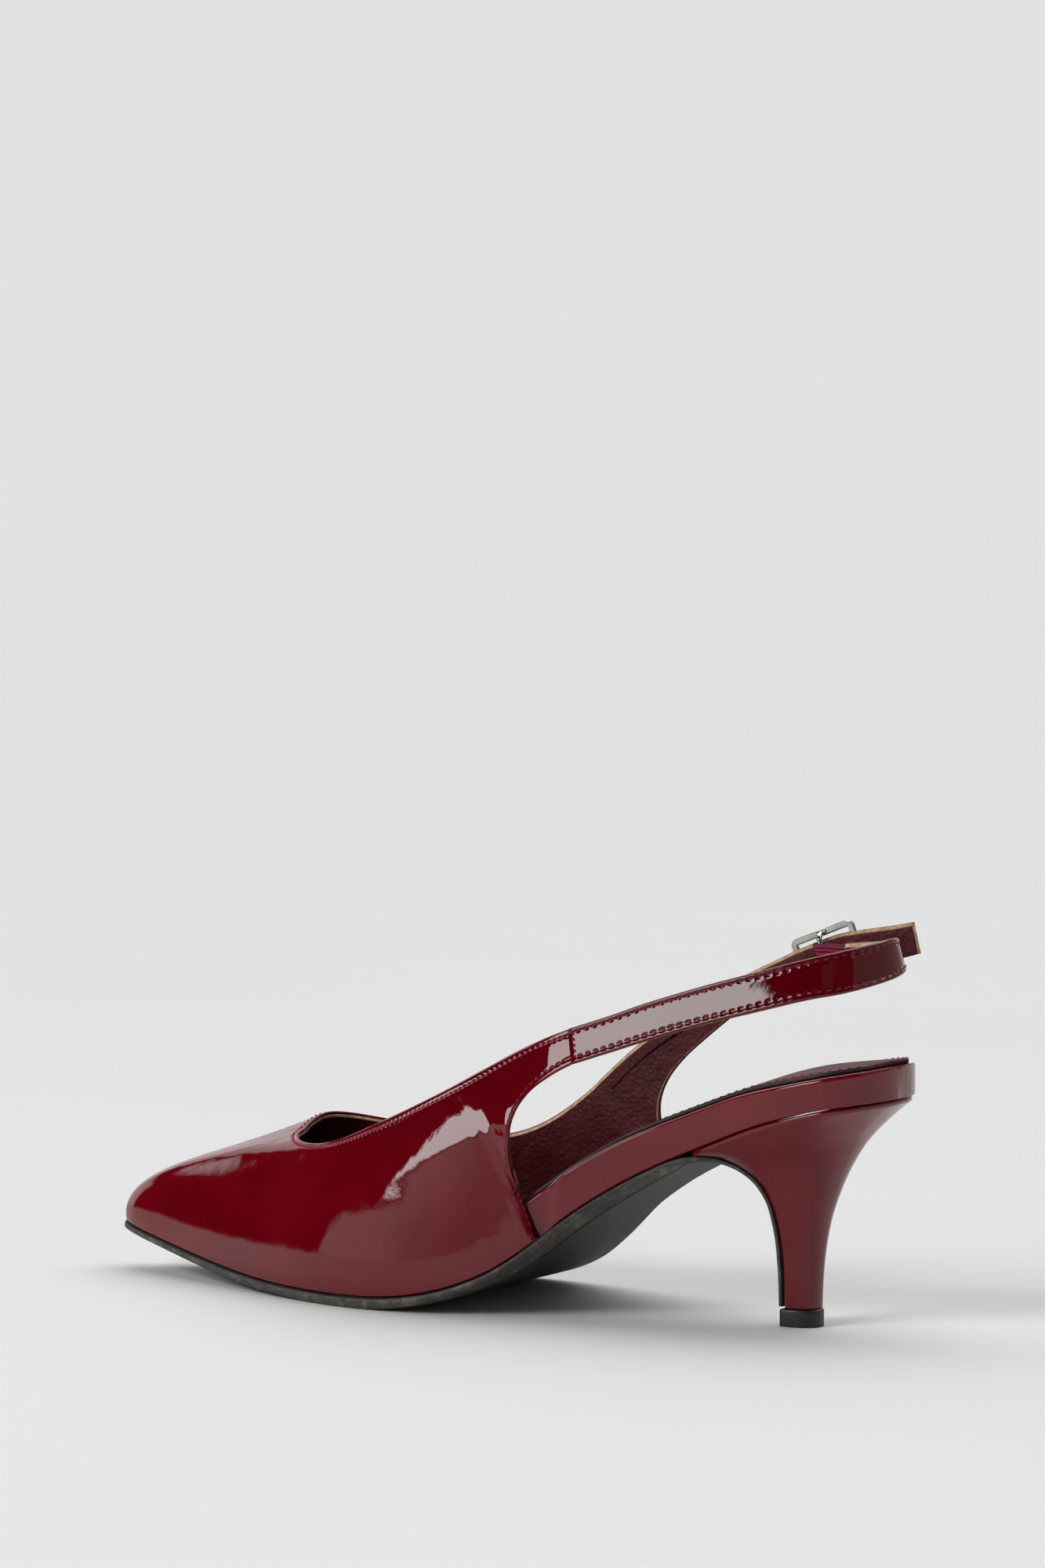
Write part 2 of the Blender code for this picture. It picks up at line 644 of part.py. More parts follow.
def make_board():
    """The wrapped insole board: inside the upper's walls in front, full width behind them."""
    end = OUTLINE[-1][0] - BOARD_BACK / SHOE_LENGTH
    front = toe_spaced(BOARD_TOE, BACK_FROM, BOARD_RINGS, 0.35)
    shares = np.concatenate([front, heel_spaced(BACK_FROM, end, BACK_RINGS)[1:]])
    rings = []
    for share in shares:
        x = float(along(share))
        widths = []
        for side, corner in ((-1, INNER_CORNER), (1, OUTER_CORNER)):
            open_from = float(along(OUTLINE[corner][0])) + UPPER_WALL
            cover = min(1.0, max(0.0, 1 - (x - open_from) / BOARD_FLARE))
            inset = cover * (UPPER_WALL + 2 * GAP)
            widths.append(max(SMALL_WIDTH, float(half_width(x, side, inset))))
        inner, outer = widths
        slope = 1 - BOARD_DRAFT * fade(share, BOARD_SHOWS)
        low = float(feather_curve(x))
        thick = float(board_curve(x))
        edge = min(BOARD_EDGE, 0.3 * thick, 0.3 * min(inner, outer))
        foot = 0.4 * edge
        knee = 0.3 * edge
        row = [(-inner, foot), (-inner * slope, thick - edge), ((knee - inner) * slope, thick - knee)]
        row += [((edge - inner) * slope, thick), (-0.5 * inner, thick), (0.5 * outer, thick)]
        row += [((outer - edge) * slope, thick), ((outer - knee) * slope, thick - knee)]
        row += [(outer * slope, thick - edge)]
        row += [(outer, foot), (outer - foot, 0.0), (0.5 * outer, 0.0)]
        row += [(-0.5 * inner, 0.0), (foot - inner, 0.0)]
        rings.append(np.array([(x, y, low + z) for y, z in row]))
    return loft("insole_board", rings, PATENT)


def make_sock():
    """The sock lining on the board, with a padded rise under the heel."""
    end = OUTLINE[-1][0] - SOCK_BACK / SHOE_LENGTH
    front = toe_spaced(SOCK_TOE, BACK_FROM, SOCK_RINGS, 0.2)
    shares = np.concatenate([front, heel_spaced(BACK_FROM, end, BACK_RINGS)[1:]])
    rings = []
    for share in shares:
        x = float(along(share))
        low = float(feather_curve(x)) + float(board_curve(x)) + GAP
        margin = SOCK_MARGIN + (UPPER_WALL + 2 * GAP) * fade(share, BOARD_SHOWS)
        inner = max(SMALL_WIDTH, float(half_width(x, -1, margin)))
        outer = max(SMALL_WIDTH, float(half_width(x, 1, margin)))
        pad = math.exp(-(((share - SOCK_PAD_AT) / SOCK_PAD_REACH) ** 2)) * SOCK_PAD
        top = flat_row(x, ACROSS, inner, outer, low + SOCK_THICKNESS + pad * (1 - ACROSS**2))
        bottom = flat_row(x, ACROSS, inner, outer, low)
        rings.append(np.concatenate([top, bottom[::-1]]))
    return loft("sock", rings, LINING)


def heel_half_ring(level, turns):
    """The outer half of one heel level, from its flat front to its round back."""
    front_x, front_z, back_x, back_z, front_wide, side_wide, square = level
    share = np.sin(turns) ** (2 / square)
    side = np.cos(turns) ** (2 / square) * side_wide
    side = side * (1 - (1 - front_wide / side_wide) * (1 - share) ** 2)
    x = front_x + (back_x - front_x) * share
    z = front_z + (back_z - front_z) * share
    return np.stack([x, side, z], axis=1)


def heel_rings():
    """Rings of the heel at the table's levels, then two that follow the seat."""
    table = np.array(HEEL)
    table[:, [0, 2]] = along(table[:, [0, 2]])
    table[:, [1, 3]] = rise(table[:, [1, 3]])
    table[0, [1, 3]] = TOP_PIECE_HEIGHT + GAP
    table[:, [4, 5]] *= HALF_BALL
    turns = np.linspace(0, math.pi / 2 - TURN_TRIM, HEEL_TURNS)
    rings = []
    for level in table:
        half = heel_half_ring(level, turns)
        rings.append(np.concatenate([half * [1, -1, 1], half[::-1]]))
    front = float(along(HEEL_FRONT))
    back = float(along(OUTLINE[-1][0])) - HEEL_INSET
    x = front + (back - front) * np.sin(turns) ** 0.75
    for depth in (HEEL_LIP, 0.0):
        z = feather_curve(x) - GAP - depth
        inner = np.stack([x, -half_width(x, -1, HEEL_INSET), z], axis=1)
        outer = np.stack([x, half_width(x, 1, HEEL_INSET), z], axis=1)
        rings.append(np.concatenate([inner, outer[::-1]]))
    return np.array(rings)


def make_heel():
    """The heel: a slim stem that flares to the seat, its front following the sole's flap."""
    rings = heel_rings()
    climb = smooth(np.arange(len(rings) - 1), rings[:-1].reshape(len(rings) - 1, -1))
    places = np.linspace(0, len(rings) - 2, HEEL_RINGS)
    return loft("heel", [climb(place).reshape(-1, 3) for place in places] + [rings[-1]], PATENT)


def make_top_piece():
    """The small D-shaped tread under the heel."""
    front, _, back, _, front_wide, side_wide, square = HEEL[0]
    turns = np.linspace(0, math.pi / 2 - TURN_TRIM, HEEL_TURNS)
    rings = []
    heights = (0.0, TOP_PIECE_CHAMFER, TOP_PIECE_HEIGHT)
    for z, grow in zip(heights, (0.0, TOP_PIECE_CHAMFER, TOP_PIECE_CHAMFER)):
        level = (
            float(along(front)) - TOP_PIECE_LEAD - grow,
            z,
            float(along(back)) + grow,
            z,
            front_wide * HALF_BALL + grow,
            side_wide * HALF_BALL + grow,
            square,
        )
        half = heel_half_ring(level, turns)
        rings.append(np.concatenate([half * [1, -1, 1], half[::-1]]))
    return loft("top_piece", rings, RUBBER)


def strap_edges(table):
    """The two edges of a strap's outer face as one curve of its rows."""
    rows = np.array(table)
    rows[:, [0, 3]] = along(rows[:, [0, 3]])
    rows[:, [1, 4]] *= HALF_BALL
    rows[:, [2, 5]] = rise(rows[:, [2, 5]])
    return smooth(np.arange(len(rows)), rows)


BUCKLE_SEAT = strap_edges(TAIL)(BUCKLE_ROW)
BUCKLE_CENTRE = np.array([
    (BUCKLE_SEAT[0] + BUCKLE_SEAT[3]) / 2,
    BUCKLE_SEAT[1] + STRAP_PLAY + BUCKLE_WIRE,
    (BUCKLE_SEAT[2] + BUCKLE_SEAT[5]) / 2 - BUCKLE_LOWERED,
])


def weave(x):
    """How far the buckle strap bows out over the buckle's centre bar at one place."""
    bar_out = BAR_WIRE + ELASTIC_SLACK + ELASTIC_THICKNESS - BAR_INSET
    crest = BUCKLE_WIRE + bar_out + 2 * STRAP_PLAY + TAIL_THICKNESS
    reach = min(1.0, abs(x - BUCKLE_CENTRE[0]) / (BUCKLE_LENGTH / 2 - BUCKLE_WIRE))
    return crest * math.cos(reach * math.pi / 2) ** 2


def strap_ring(edges, place, last, thickness, inside):
    """A ring across a strap at one place, its body on the side of the shoe's axis."""
    here = edges(place)
    ahead = edges(min(place + 0.02, last))
    behind = edges(max(place - 0.02, 0))
    top = here[:3]
    bottom = here[3:]
    direction = (ahead[:3] + ahead[3:]) - (behind[:3] + behind[3:])
    direction /= np.linalg.norm(direction)
    across = top - bottom
    across /= np.linalg.norm(across)
    normal = np.cross(direction, across) * inside
    normal /= np.linalg.norm(normal)
    edge = 0.25 * thickness
    face = [bottom + across * edge, top - across * edge]
    ring = [
        bottom + normal * edge,
        face[0],
        face[1],
        top + normal * edge,
        top + normal * (thickness - edge),
        face[1] + normal * thickness,
        face[0] + normal * thickness,
        bottom + normal * (thickness - edge),
    ]
    return np.array(ring)


def make_sling():
    """The heel strap, two layers thick, from the inner quarter round to the elastic."""
    edges = strap_edges(SLING)
    last = len(SLING) - 1
    places = np.linspace(0, last, 4 * last + 1)
    rings = [strap_ring(edges, p, last, STRAP_THICKNESS, -1) for p in places]
    rings = [np.concatenate([r[1:], r[:1]]) for r in rings]
    return loft("sling_strap", rings, PATENT)


def make_tail():
    """The single-layer buckle strap from the outer quarter to its free end."""
    edges = strap_edges(TAIL)
    last = len(TAIL) - 1
    places = np.linspace(0, last, 4 * last + 1)

    def woven(place):
        here = edges(place)
        here[[1, 4]] += weave((here[0] + here[3]) / 2)
        return here

    rings = [strap_ring(woven, p, last, TAIL_THICKNESS, 1) for p in places]
    rings = [np.concatenate([r[1:], r[:1]]) for r in rings]
    return loft("tail_strap", rings, PATENT)


def buckle_place(length, height, depth):
    """A point in the buckle's own frame: along the strap, up the frame, and towards the foot."""
    forward = math.cos(BUCKLE_TILT)
    upward = math.sin(BUCKLE_TILT)
    x = length * forward - height * upward
    z = length * upward + height * forward
    return BUCKLE_CENTRE + np.array([x, -depth, z])


def tube_rings(path, radius, sides, closed):
    """Round rings along a path of points."""
    path = np.array(path)
    count = len(path)
    rings = []
    guide = np.array([0.0, 1.0, 0.0])
    for k in range(count):
        if closed:
            ahead = path[(k + 1) % count]
            behind = path[k - 1]
        else:
            ahead = path[min(k + 1, count - 1)]
            behind = path[max(k - 1, 0)]
        direction = ahead - behind
        direction /= np.linalg.norm(direction)
        first = guide - direction * np.dot(guide, direction)
        if np.linalg.norm(first) < 0.2:
            first = np.array([1.0, 0.0, 0.0]) - direction * direction[0]
        first /= np.linalg.norm(first)
        second = np.cross(direction, first)
        turns = np.arange(sides) * 2 * math.pi / sides
        ring = [path[k] + radius * (math.cos(a) * first + math.sin(a) * second) for a in turns]
        rings.append(np.array(ring))
    return rings


def make_buckle_frame():
    """The rounded oblong ring and its bowed centre bar, joined into one solid."""
    half_l = BUCKLE_LENGTH / 2 - BUCKLE_WIRE
    half_h = BUCKLE_HEIGHT / 2 - BUCKLE_WIRE
    path = []
    for cx, cz, start in ((1, 1, 0), (-1, 1, 90), (-1, -1, 180), (1, -1, 270)):
        for step in range(5):
            a = math.radians(start + step * 22.5)
            x = cx * (half_l - BUCKLE_CORNER) + BUCKLE_CORNER * math.cos(a)
            z = cz * (half_h - BUCKLE_CORNER) + BUCKLE_CORNER * math.sin(a)
            path.append(buckle_place(x, z, 0.0))
    rings = tube_rings(path, BUCKLE_WIRE, TUBE_SIDES, True)
    count = TUBE_SIDES
    points = np.concatenate(rings)
    faces = []
    for r in range(len(rings)):
        for k in range(count):
            a = r * count + k
            b = r * count + (k + 1) % count
            nxt = ((r + 1) % len(rings)) * count
            faces.append((a, b, nxt + (k + 1) % count, nxt + k))
    frame = link("buckle_frame", points, faces, METAL)
    half = []
    for height, depth in BAR_BOW:
        half.append((height * half_h, depth * BAR_INSET))
    bow = [buckle_place(0.0, height, depth) for height, depth in half]
    bow.append(buckle_place(0.0, 0.0, BAR_INSET))
    bow += [buckle_place(0.0, -height, depth) for height, depth in reversed(half)]
    bow_rings = tube_rings(bow, BAR_WIRE, TUBE_SIDES, False)
    bar = loft("buckle_bar", bow_rings, METAL)
    join = frame.modifiers.new("join", "BOOLEAN")
    join.operation = "UNION"
    join.solver = "EXACT"
    join.object = bar
    apply_modifier(frame, join)
    bpy.data.objects.remove(bar)
    return frame


def loop_solid(name, outer, inner, material):
    """A closed band between an outer and an inner loop, each given as a top and a bottom row."""
    count = len(outer[0])
    points = np.concatenate([outer[0], inner[0], outer[1], inner[1]])
    faces = []
    for k in range(count):
        n = (k + 1) % count
        for first, second in ((0, 1), (1, 3), (3, 2), (2, 0)):
            a = first * count
            b = second * count
            faces.append((a + k, a + n, b + n, b + k))
    return link(name, points, faces, material)


def prong_path():
    """The prong's centre line in the buckle's own frame, loop first."""
    reach = BAR_WIRE + GAP + PRONG_WIRE
    points = []
    for turn in range(20, 181, 20):
        angle = math.radians(turn)
        points.append((reach * math.cos(angle), BAR_INSET + reach * math.sin(angle)))
    laid = -(BUCKLE_WIRE + GAP + PRONG_WIRE)
    for share, depth in PRONG:
        points.append((-share * BUCKLE_LENGTH / 2, laid + depth * (BAR_INSET - laid)))
    return [buckle_place(length, 0.0, depth) for length, depth in points]


def make_prong():
    """The prong, looped round the centre bar and laid on the front end of the frame."""
    return loft("buckle_prong", tube_rings(prong_path(), PRONG_WIRE, PRONG_SIDES, False), METAL)


def cut(target, tool):
    """Cut a tool's shape out of a solid."""
    knife = target.modifiers.new("cut", "BOOLEAN")
    knife.operation = "DIFFERENCE"
    knife.solver = "EXACT"
    knife.object = tool
    apply_modifier(target, knife)
    bpy.data.objects.remove(tool)


def punch_tail(tail):
    """The hole that the prong passes through."""
    path = prong_path()[-len(PRONG) - 1 : -2]
    hole = loft("prong_hole", tube_rings(path, PRONG_WIRE + GAP, TUBE_SIDES, False), METAL)
    cut(tail, hole)


def make_elastic():
    """The elastic tab: stitched flat at the heel strap's end, looped round the buckle's bar."""
    end = strap_edges(SLING)(len(SLING) - 1)
    strap_up = (end[:3] - end[3:]) / np.linalg.norm(end[:3] - end[3:])
    strap_in = np.array([0.0, -1.0, 0.0]) * STRAP_THICKNESS / 2
    middle = (end[:3] + end[3:]) / 2 + strap_in
    centre = buckle_place(0.0, 0.0, BAR_INSET)
    bar_up = buckle_place(0.0, 1.0, BAR_INSET) - centre
    way = middle - centre
    reach = np.linalg.norm(way) - ELASTIC_INSET
    way /= np.linalg.norm(way)
    inward = np.cross(way, bar_up)
    inward /= np.linalg.norm(inward)
    eye = BAR_WIRE + ELASTIC_SLACK
    turns = np.radians(np.linspace(55, 305, 13))
    round_outer = (eye + ELASTIC_THICKNESS) * np.stack([np.cos(turns), np.sin(turns)], axis=1)
    round_inner = eye * np.stack([np.cos(turns), np.sin(turns)], axis=1)
    flat = ELASTIC_THICKNESS
    tail_outer = np.array([(reach, flat), (0.60 * reach, flat), (0.40 * reach, 1.3 * flat)])
    tail_inner = np.array([(3.4 * eye, 0.06 * eye), (2.9 * eye, 0.16 * eye), (2.1 * eye, 0.42 * eye)])
    mirror = np.array([1.0, -1.0])
    outer = np.concatenate([tail_outer, round_outer, tail_outer[::-1] * mirror])
    inner = np.concatenate([tail_inner, round_inner, tail_inner[::-1] * mirror])

    def rows(loop):
        result = []
        for sign in (1, -1):
            row = []
            for length, depth in loop:
                share = max(0.0, min(1.0, length / reach))
                up = bar_up * (1 - share) + strap_up * share
                row.append(centre + way * length + inward * depth + up * sign * ELASTIC_WIDTH / 2)
            result.append(np.array(row))
        return result

    body = loop_solid("elastic_tab", rows(outer), rows(inner), WEBBING)
    corners = []
    for length in (-3.0 * eye, 2.3 * eye):
        for depth in (-3.0 * eye, 3.0 * eye):
            for sign in (-1, 1):
                corners.append(buckle_place(length, sign * SLIT_WIDTH / 2, BAR_INSET + depth))
    sides = [(0, 1, 3, 2), (4, 6, 7, 5), (0, 4, 5, 1), (2, 3, 7, 6), (0, 2, 6, 4), (1, 5, 7, 3)]
    cut(body, link("slit", corners, sides, WEBBING))
    return body


def apply_modifier(target, modifier):
    """Bake a modifier into the object's mesh."""
    bpy.context.view_layer.update()
    graph = bpy.context.evaluated_depsgraph_get()
    baked = bpy.data.meshes.new_from_object(target.evaluated_get(graph))
    old = target.data
    target.modifiers.remove(modifier)
    target.data = baked
    bpy.data.meshes.remove(old)
    for polygon in baked.polygons:
        polygon.use_smooth = True


def clear():
    """Remove what the start-up scene holds."""
    for item in list(bpy.data.objects):
        bpy.data.objects.remove(item)


clear()
make_upper()
make_outsole()
make_board()
make_sock()
make_heel()
make_top_piece()
make_sling()
punch_tail(make_tail())
make_buckle_frame()
make_prong()
make_elastic()
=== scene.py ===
"""Looks of a slingback pump in burgundy patent leather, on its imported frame.

Metres, +Z up.  X runs from the toe (minus) to the heel (plus), minus Y is the inner side of the
foot, and the origin is the tread point of the ball on the floor.
"""

import math

import bmesh
import bpy
import numpy as np
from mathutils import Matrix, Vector


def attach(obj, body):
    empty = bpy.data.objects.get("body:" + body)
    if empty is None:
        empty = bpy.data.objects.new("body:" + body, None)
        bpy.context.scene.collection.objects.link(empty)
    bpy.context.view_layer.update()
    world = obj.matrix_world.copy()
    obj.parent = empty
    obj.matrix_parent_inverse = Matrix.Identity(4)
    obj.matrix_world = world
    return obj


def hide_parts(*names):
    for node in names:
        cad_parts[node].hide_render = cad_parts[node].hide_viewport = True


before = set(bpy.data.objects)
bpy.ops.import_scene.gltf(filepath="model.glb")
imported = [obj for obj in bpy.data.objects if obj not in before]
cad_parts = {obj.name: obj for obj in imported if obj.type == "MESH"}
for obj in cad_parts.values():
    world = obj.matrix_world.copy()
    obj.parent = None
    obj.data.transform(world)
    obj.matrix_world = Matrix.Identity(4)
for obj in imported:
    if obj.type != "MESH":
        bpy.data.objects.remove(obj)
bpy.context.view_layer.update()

# the photograph's camera: place in metres, angles, and a lens on a sensor as high as the frame
CAMERA_PLACE = (0.77752, -1.23821, 0.220)
CAMERA_TURN = math.radians(31.0)
CAMERA_DOWN = math.radians(3.0638)
CAMERA_SENSOR = 36.0
CAMERA_LENS = 120.87
LIGHT_AIM = (0.03, 0.0, 0.04)
SURROUND = 0.76
FLOOR_GREY = 0.725
FLOOR_SIZE = 30.0
KEY_AROUND = -112.0
KEY_UP = 38.0
KEY_DISTANCE = 1.1
KEY_SIZE = (0.5, 0.4)
KEY_POWER = 1.0

# light on the surround; degrees clockwise from the camera's view, so the left is minus, and up
PATCHES = (
    # radiance, left, right, low, high, soft right, soft left, soft up
    (0.28, 30.0, 140.0, -1.0, 45.0, 8.0, 8.0, 8.0), (2.3, -75.0, 85.0, 36.0, 89.0, 12.0, 4.0, 4.0),
    (0.03, 135.0, 181.0, -1.0, 78.0, 3.0, 3.0, 3.0), (0.004, -181.0, -60.0, 0.0, 78.0, 2.5, 2.5, 2.5),
    (0.13, -178.0, -166.0, 0.0, 45.0, 1.0, 1.0, 1.0), (1.2, -58.0, -12.0, 1.0, 24.0, 4.0, 4.0, 4.0),
    (0.004, -62.0, -28.0, 25.0, 33.5, 1.5, 1.5, 1.5), (0.46, -164.0, -94.0, -3.0, 19.5, 1.5, 6.0, 1.5),
    (1.00, -128.0, -94.0, -3.0, 19.5, 1.5, 14.0, 1.5), (7.5, -137.0, -107.0, 21.5, 46.0, 1.2, 1.2, 1.2),
)

# colours and coat of the patent leather
PATENT_DARK = (0.115, 0.0008, 0.0042)
PATENT_LIGHT = (0.155, 0.0014, 0.0068)
COAT_IOR = 1.5

# edges: radius of the folded edge, how far it turns down inside, and where samples lie beside it
FOLD = 0.00038
FOLD_TURNED = 0.0003
EDGE_STEPS = np.array([0.00038, 0.0006, 0.0009, 0.0012, 0.0015, 0.0018, 0.0021, 0.0025, 0.0030, 0.0038])
FAR_FROM_EDGE = 0.01

# stitches: distance in from the edge, pitch, lift, groove, padded edge, and how finely they are made
STITCH_IN = 0.0018
STRAP_STITCH_IN = 0.0014
STRAP_PITCH = 0.0026
TOPLINE_PITCH = 0.0017
CUTOUT_PITCH = 0.0021
GROOVE_WIDTH = 0.00055
GROOVE_DEPTH = 0.00014
PAD_HEIGHT = 0.00016
STRAP_LEAD = 0.0005
STRAP_COLUMNS = 25
SEAM_PLACE = 0.09
TOPLINE_LIFT = 0.00006
SOCK_STITCH = 0.93
STITCH_RINGS = 7
STITCH_SIDES = 8
UPPER_THREAD = 0.00030
STRAP_THREAD = 0.00022
SEAM_THREAD = 0.00026
FINE_THREAD = 0.0002
SEAM_PITCH = 0.0015
SOCK_PITCH = 0.0026
ELASTIC_PITCH = 0.0018

# room between face and lining; the first of a strap section's points on its lining; rib samples
LINING_GAP = 0.00002
STRAP_LAYER_GAP = 0.00003
LINING_STARTS = STRAP_COLUMNS + 7
LINE_SAMPLES = 161

# fine grit of the sole: noise and depth; steps between ribs and up a rib to find directions
GRIT_NOISE = (1500.0, 4.0, 0.7)
GRIT_DEPTH = 0.00009
ROW_STEP = 0.01
SHARE_STEP = 0.002
UPWARD = np.array([0.0, 0.0, 1.0])

# how far the lining's raw edge slants back: at the throat, at the sides, on the straps, at the end
RAW_THROAT = 0.0003
RAW_SIDES = 0.0009
RAW_WIDENS = (9.0, 14.0)
RAW_SLING = 0.0008
RAW_TAIL = 0.0009
RAW_END = 0.0006

# the buckle's ring: half width and half depth of its band, its corners' radius and squareness
FRAME_HALF_WIDE = 0.00095
FRAME_HALF_DEEP = 0.00060
FRAME_CORNER = 0.0010
FRAME_SQUARE = 0.45

# the quarters' roll: its lower line (x, z), its width, where it starts and eases, its angle along x
ROLL_LINE = (
    (-0.005, 0.0385), (0.008, 0.0398), (0.0164, 0.0423), (0.0234, 0.0441), (0.0294, 0.0463),
    (0.0353, 0.0488), (0.0402, 0.0485), (0.0458, 0.0504), (0.060, 0.0590),
)
ROLL_SLOPE = 0.88
ROLL_BAND = (-0.0065, 0.0105)
ROLL_FRONT = (-0.004, 0.010)
ROLL_BACK = (0.053, 0.064)
ROLL_EASED = 0.56
ROLL_LEAN = ((0.0, 30.0), (0.022, 32.0), (0.032, 37.0), (0.040, 41.0))
ROLL_PULL = (0.1, 0.0, 1.0)
STRAP_LEAN = ((0.068, 17.0), (0.095, 11.0), (0.125, 9.0))
LIP_PLACE = (-0.012, -0.0225, 0.043)
LIP_REACH = 0.0115
LIP_TURN = 18.0

SHOE_LENGTH = 0.2500
BALL_WIDTH = 0.0750
HALF_BALL = BALL_WIDTH / 2
SEAT_HEIGHT = 0.0625
BALL_SHARE = 0.402
BALL_UP = 0.054

UPPER_WALL = 0.0016
GAP = 0.0003

SOLE_THICKNESS = 0.00307
SOLE_WELT = 0.0004
WELT_ENDS = 0.65
SOLE_TOE_LEAD = 0.0003
SOLE_SOFT = 0.0004
FLAP_BEVEL = 0.0002
FLAP_UPRIGHT = 0.7
BOARD_THICKNESS = 0.0100
BOARD_EDGE = 0.0012
BOARD_FLARE = 0.0040
BOARD_SHOWS = 0.71
BOARD_DRAFT = 0.02
BOARD_TOE = 0.018
BOARD_BACK = 0.00015
FADE = 0.05
BACK_FROM = 0.90
SMALL_WIDTH = 0.0008
SOCK_THICKNESS = 0.0010
SOCK_PAD = 0.0018
SOCK_PAD_AT = 0.905
SOCK_PAD_REACH = 0.055
SOCK_MARGIN = 0.0018
SOCK_BACK = 0.0040
SOCK_TOE = 0.05

TOP_PIECE_HEIGHT = 0.0047
TOP_PIECE_CHAMFER = 0.0004
TOP_PIECE_LEAD = 0.0010

STRAP_THICKNESS = 0.0020
TAIL_THICKNESS = 0.0013

BUCKLE_LENGTH = 0.0202
BUCKLE_HEIGHT = 0.0154
BUCKLE_WIRE = 0.0009
BUCKLE_TILT = math.radians(21.0)
BUCKLE_ROW = 5
BUCKLE_LOWERED = 0.0006
STRAP_PLAY = 0.0005
BAR_WIRE = 0.0008
BAR_INSET = 0.0030
PRONG_WIRE = 0.00055
ELASTIC_THICKNESS = 0.0009
ELASTIC_WIDTH = 0.0080
ELASTIC_SLACK = 0.0004
ELASTIC_INSET = 0.0007
ELASTIC_SEWN = 0.0009
ELASTIC_RIBS = 7
ELASTIC_SEAM_IN = 0.0014
COLLAR_HALF = 0.0016

# the outline's rows where the open sides start
INNER_CORNER = 13
OUTER_CORNER = 14

# along: share of SHOE_LENGTH from the toe; inner and outer: shares of HALF_BALL
OUTLINE = (
    # along, inner, outer
    (0.008, 0.0, 0.0), (0.013, 0.105, 0.1), (0.026, 0.175, 0.17), (0.049, 0.245, 0.235),
    (0.09, 0.34, 0.325), (0.15, 0.48, 0.455), (0.22, 0.655, 0.62), (0.29, 0.82, 0.78), (0.35, 0.93, 0.895),
    (0.41, 0.995, 0.97), (0.465, 1.0, 1.005), (0.52, 0.95, 0.99), (0.57, 0.865, 0.925), (0.62, 0.75, 0.83),
    (0.68, 0.64, 0.715), (0.74, 0.57, 0.635), (0.8, 0.56, 0.6), (0.86, 0.59, 0.61), (0.92, 0.605, 0.615),
    (0.962, 0.55, 0.555), (0.989, 0.395, 0.4), (1.001, 0.19, 0.19), (1.004, 0.0, 0.0),
)

# height of the underside of the upper and the insole board, as a share of SEAT_HEIGHT
FEATHER = (
    # along, up
    (0.0, 0.226), (0.03, 0.203), (0.082, 0.164), (0.155, 0.114), (0.21, 0.085), (0.274, 0.063),
    (0.342, 0.054), (0.402, 0.054), (0.45, 0.064), (0.5, 0.096), (0.54, 0.146), (0.57, 0.202),
    (0.598, 0.276), (0.62, 0.346), (0.642, 0.42), (0.702, 0.584), (0.754, 0.693), (0.786, 0.749),
    (0.822, 0.808), (0.866, 0.878), (0.91, 0.933), (0.952, 0.973), (1.004, 1.005),
)

# thick: share of BOARD_THICKNESS
BOARD = (
    # along, thick
    (0.0, 0.22), (0.3, 0.28), (0.42, 0.32), (0.48, 0.44), (0.53, 0.8), (0.57, 1.14), (0.605, 1.3),
    (0.64, 1.25), (0.7, 1.16), (0.76, 1.06), (0.84, 0.99), (0.91, 0.87), (1.004, 0.87),
)

# thick: share of SOLE_THICKNESS; bevel: inset of the bottom edge as a share of HALF_BALL; edge:
# upright part of the side as a share of the thickness
SOLE = (
    # along, thick, bevel, edge
    (0.0, 0.58, 0.012, 0.75), (0.12, 0.74, 0.018, 0.75), (0.24, 0.93, 0.022, 0.75),
    (0.33, 1.03, 0.024, 0.75), (0.43, 1.1, 0.028, 0.75), (0.48, 1.03, 0.05, 0.7), (0.54, 0.98, 0.12, 0.5),
    (0.62, 1.0, 0.21, 0.25), (0.7, 1.0, 0.21, 0.2), (0.765, 0.88, 0.12, 0.3),
)

# the sole's flap down the front of the heel: up as above, wide a share of HALF_BALL, thick as above
FLAP = (
    # along, up, wide, thick
    (0.786, 0.734, 0.52, 0.62), (0.808, 0.737, 0.47, 0.5), (0.83, 0.711, 0.4, 0.45),
    (0.852, 0.65, 0.335, 0.43), (0.8645, 0.566, 0.275, 0.43), (0.87, 0.435, 0.205, 0.43),
    (0.8712, 0.255, 0.145, 0.43), (0.8708, 0.086, 0.118, 0.43),
)

# heel levels from the top piece up: front and back points, half widths at the front and beside
HEEL = (
    # front along, front up, back along, back up, front wide, side wide, square
    (0.8745, 0.08, 0.9078, 0.08, 0.124, 0.142, 2.3), (0.8748, 0.208, 0.9088, 0.208, 0.14, 0.148, 2.3),
    (0.8742, 0.33, 0.9118, 0.336, 0.165, 0.168, 2.3), (0.8725, 0.437, 0.9176, 0.464, 0.205, 0.211, 2.3),
    (0.869, 0.53, 0.927, 0.58, 0.252, 0.258, 2.35), (0.8612, 0.615, 0.939, 0.689, 0.308, 0.32, 2.4),
    (0.8466, 0.683, 0.9566, 0.806, 0.376, 0.396, 2.6), (0.825, 0.731, 0.978, 0.902, 0.456, 0.5, 2.9),
)
HEEL_FRONT = 0.7960
HEEL_LIP = 0.0012
HEEL_INSET = 0.0008
HEEL_TURNS = 40
TURN_TRIM = 0.02
HEEL_ANGLES = np.linspace(0, math.pi / 2 - TURN_TRIM, HEEL_TURNS)

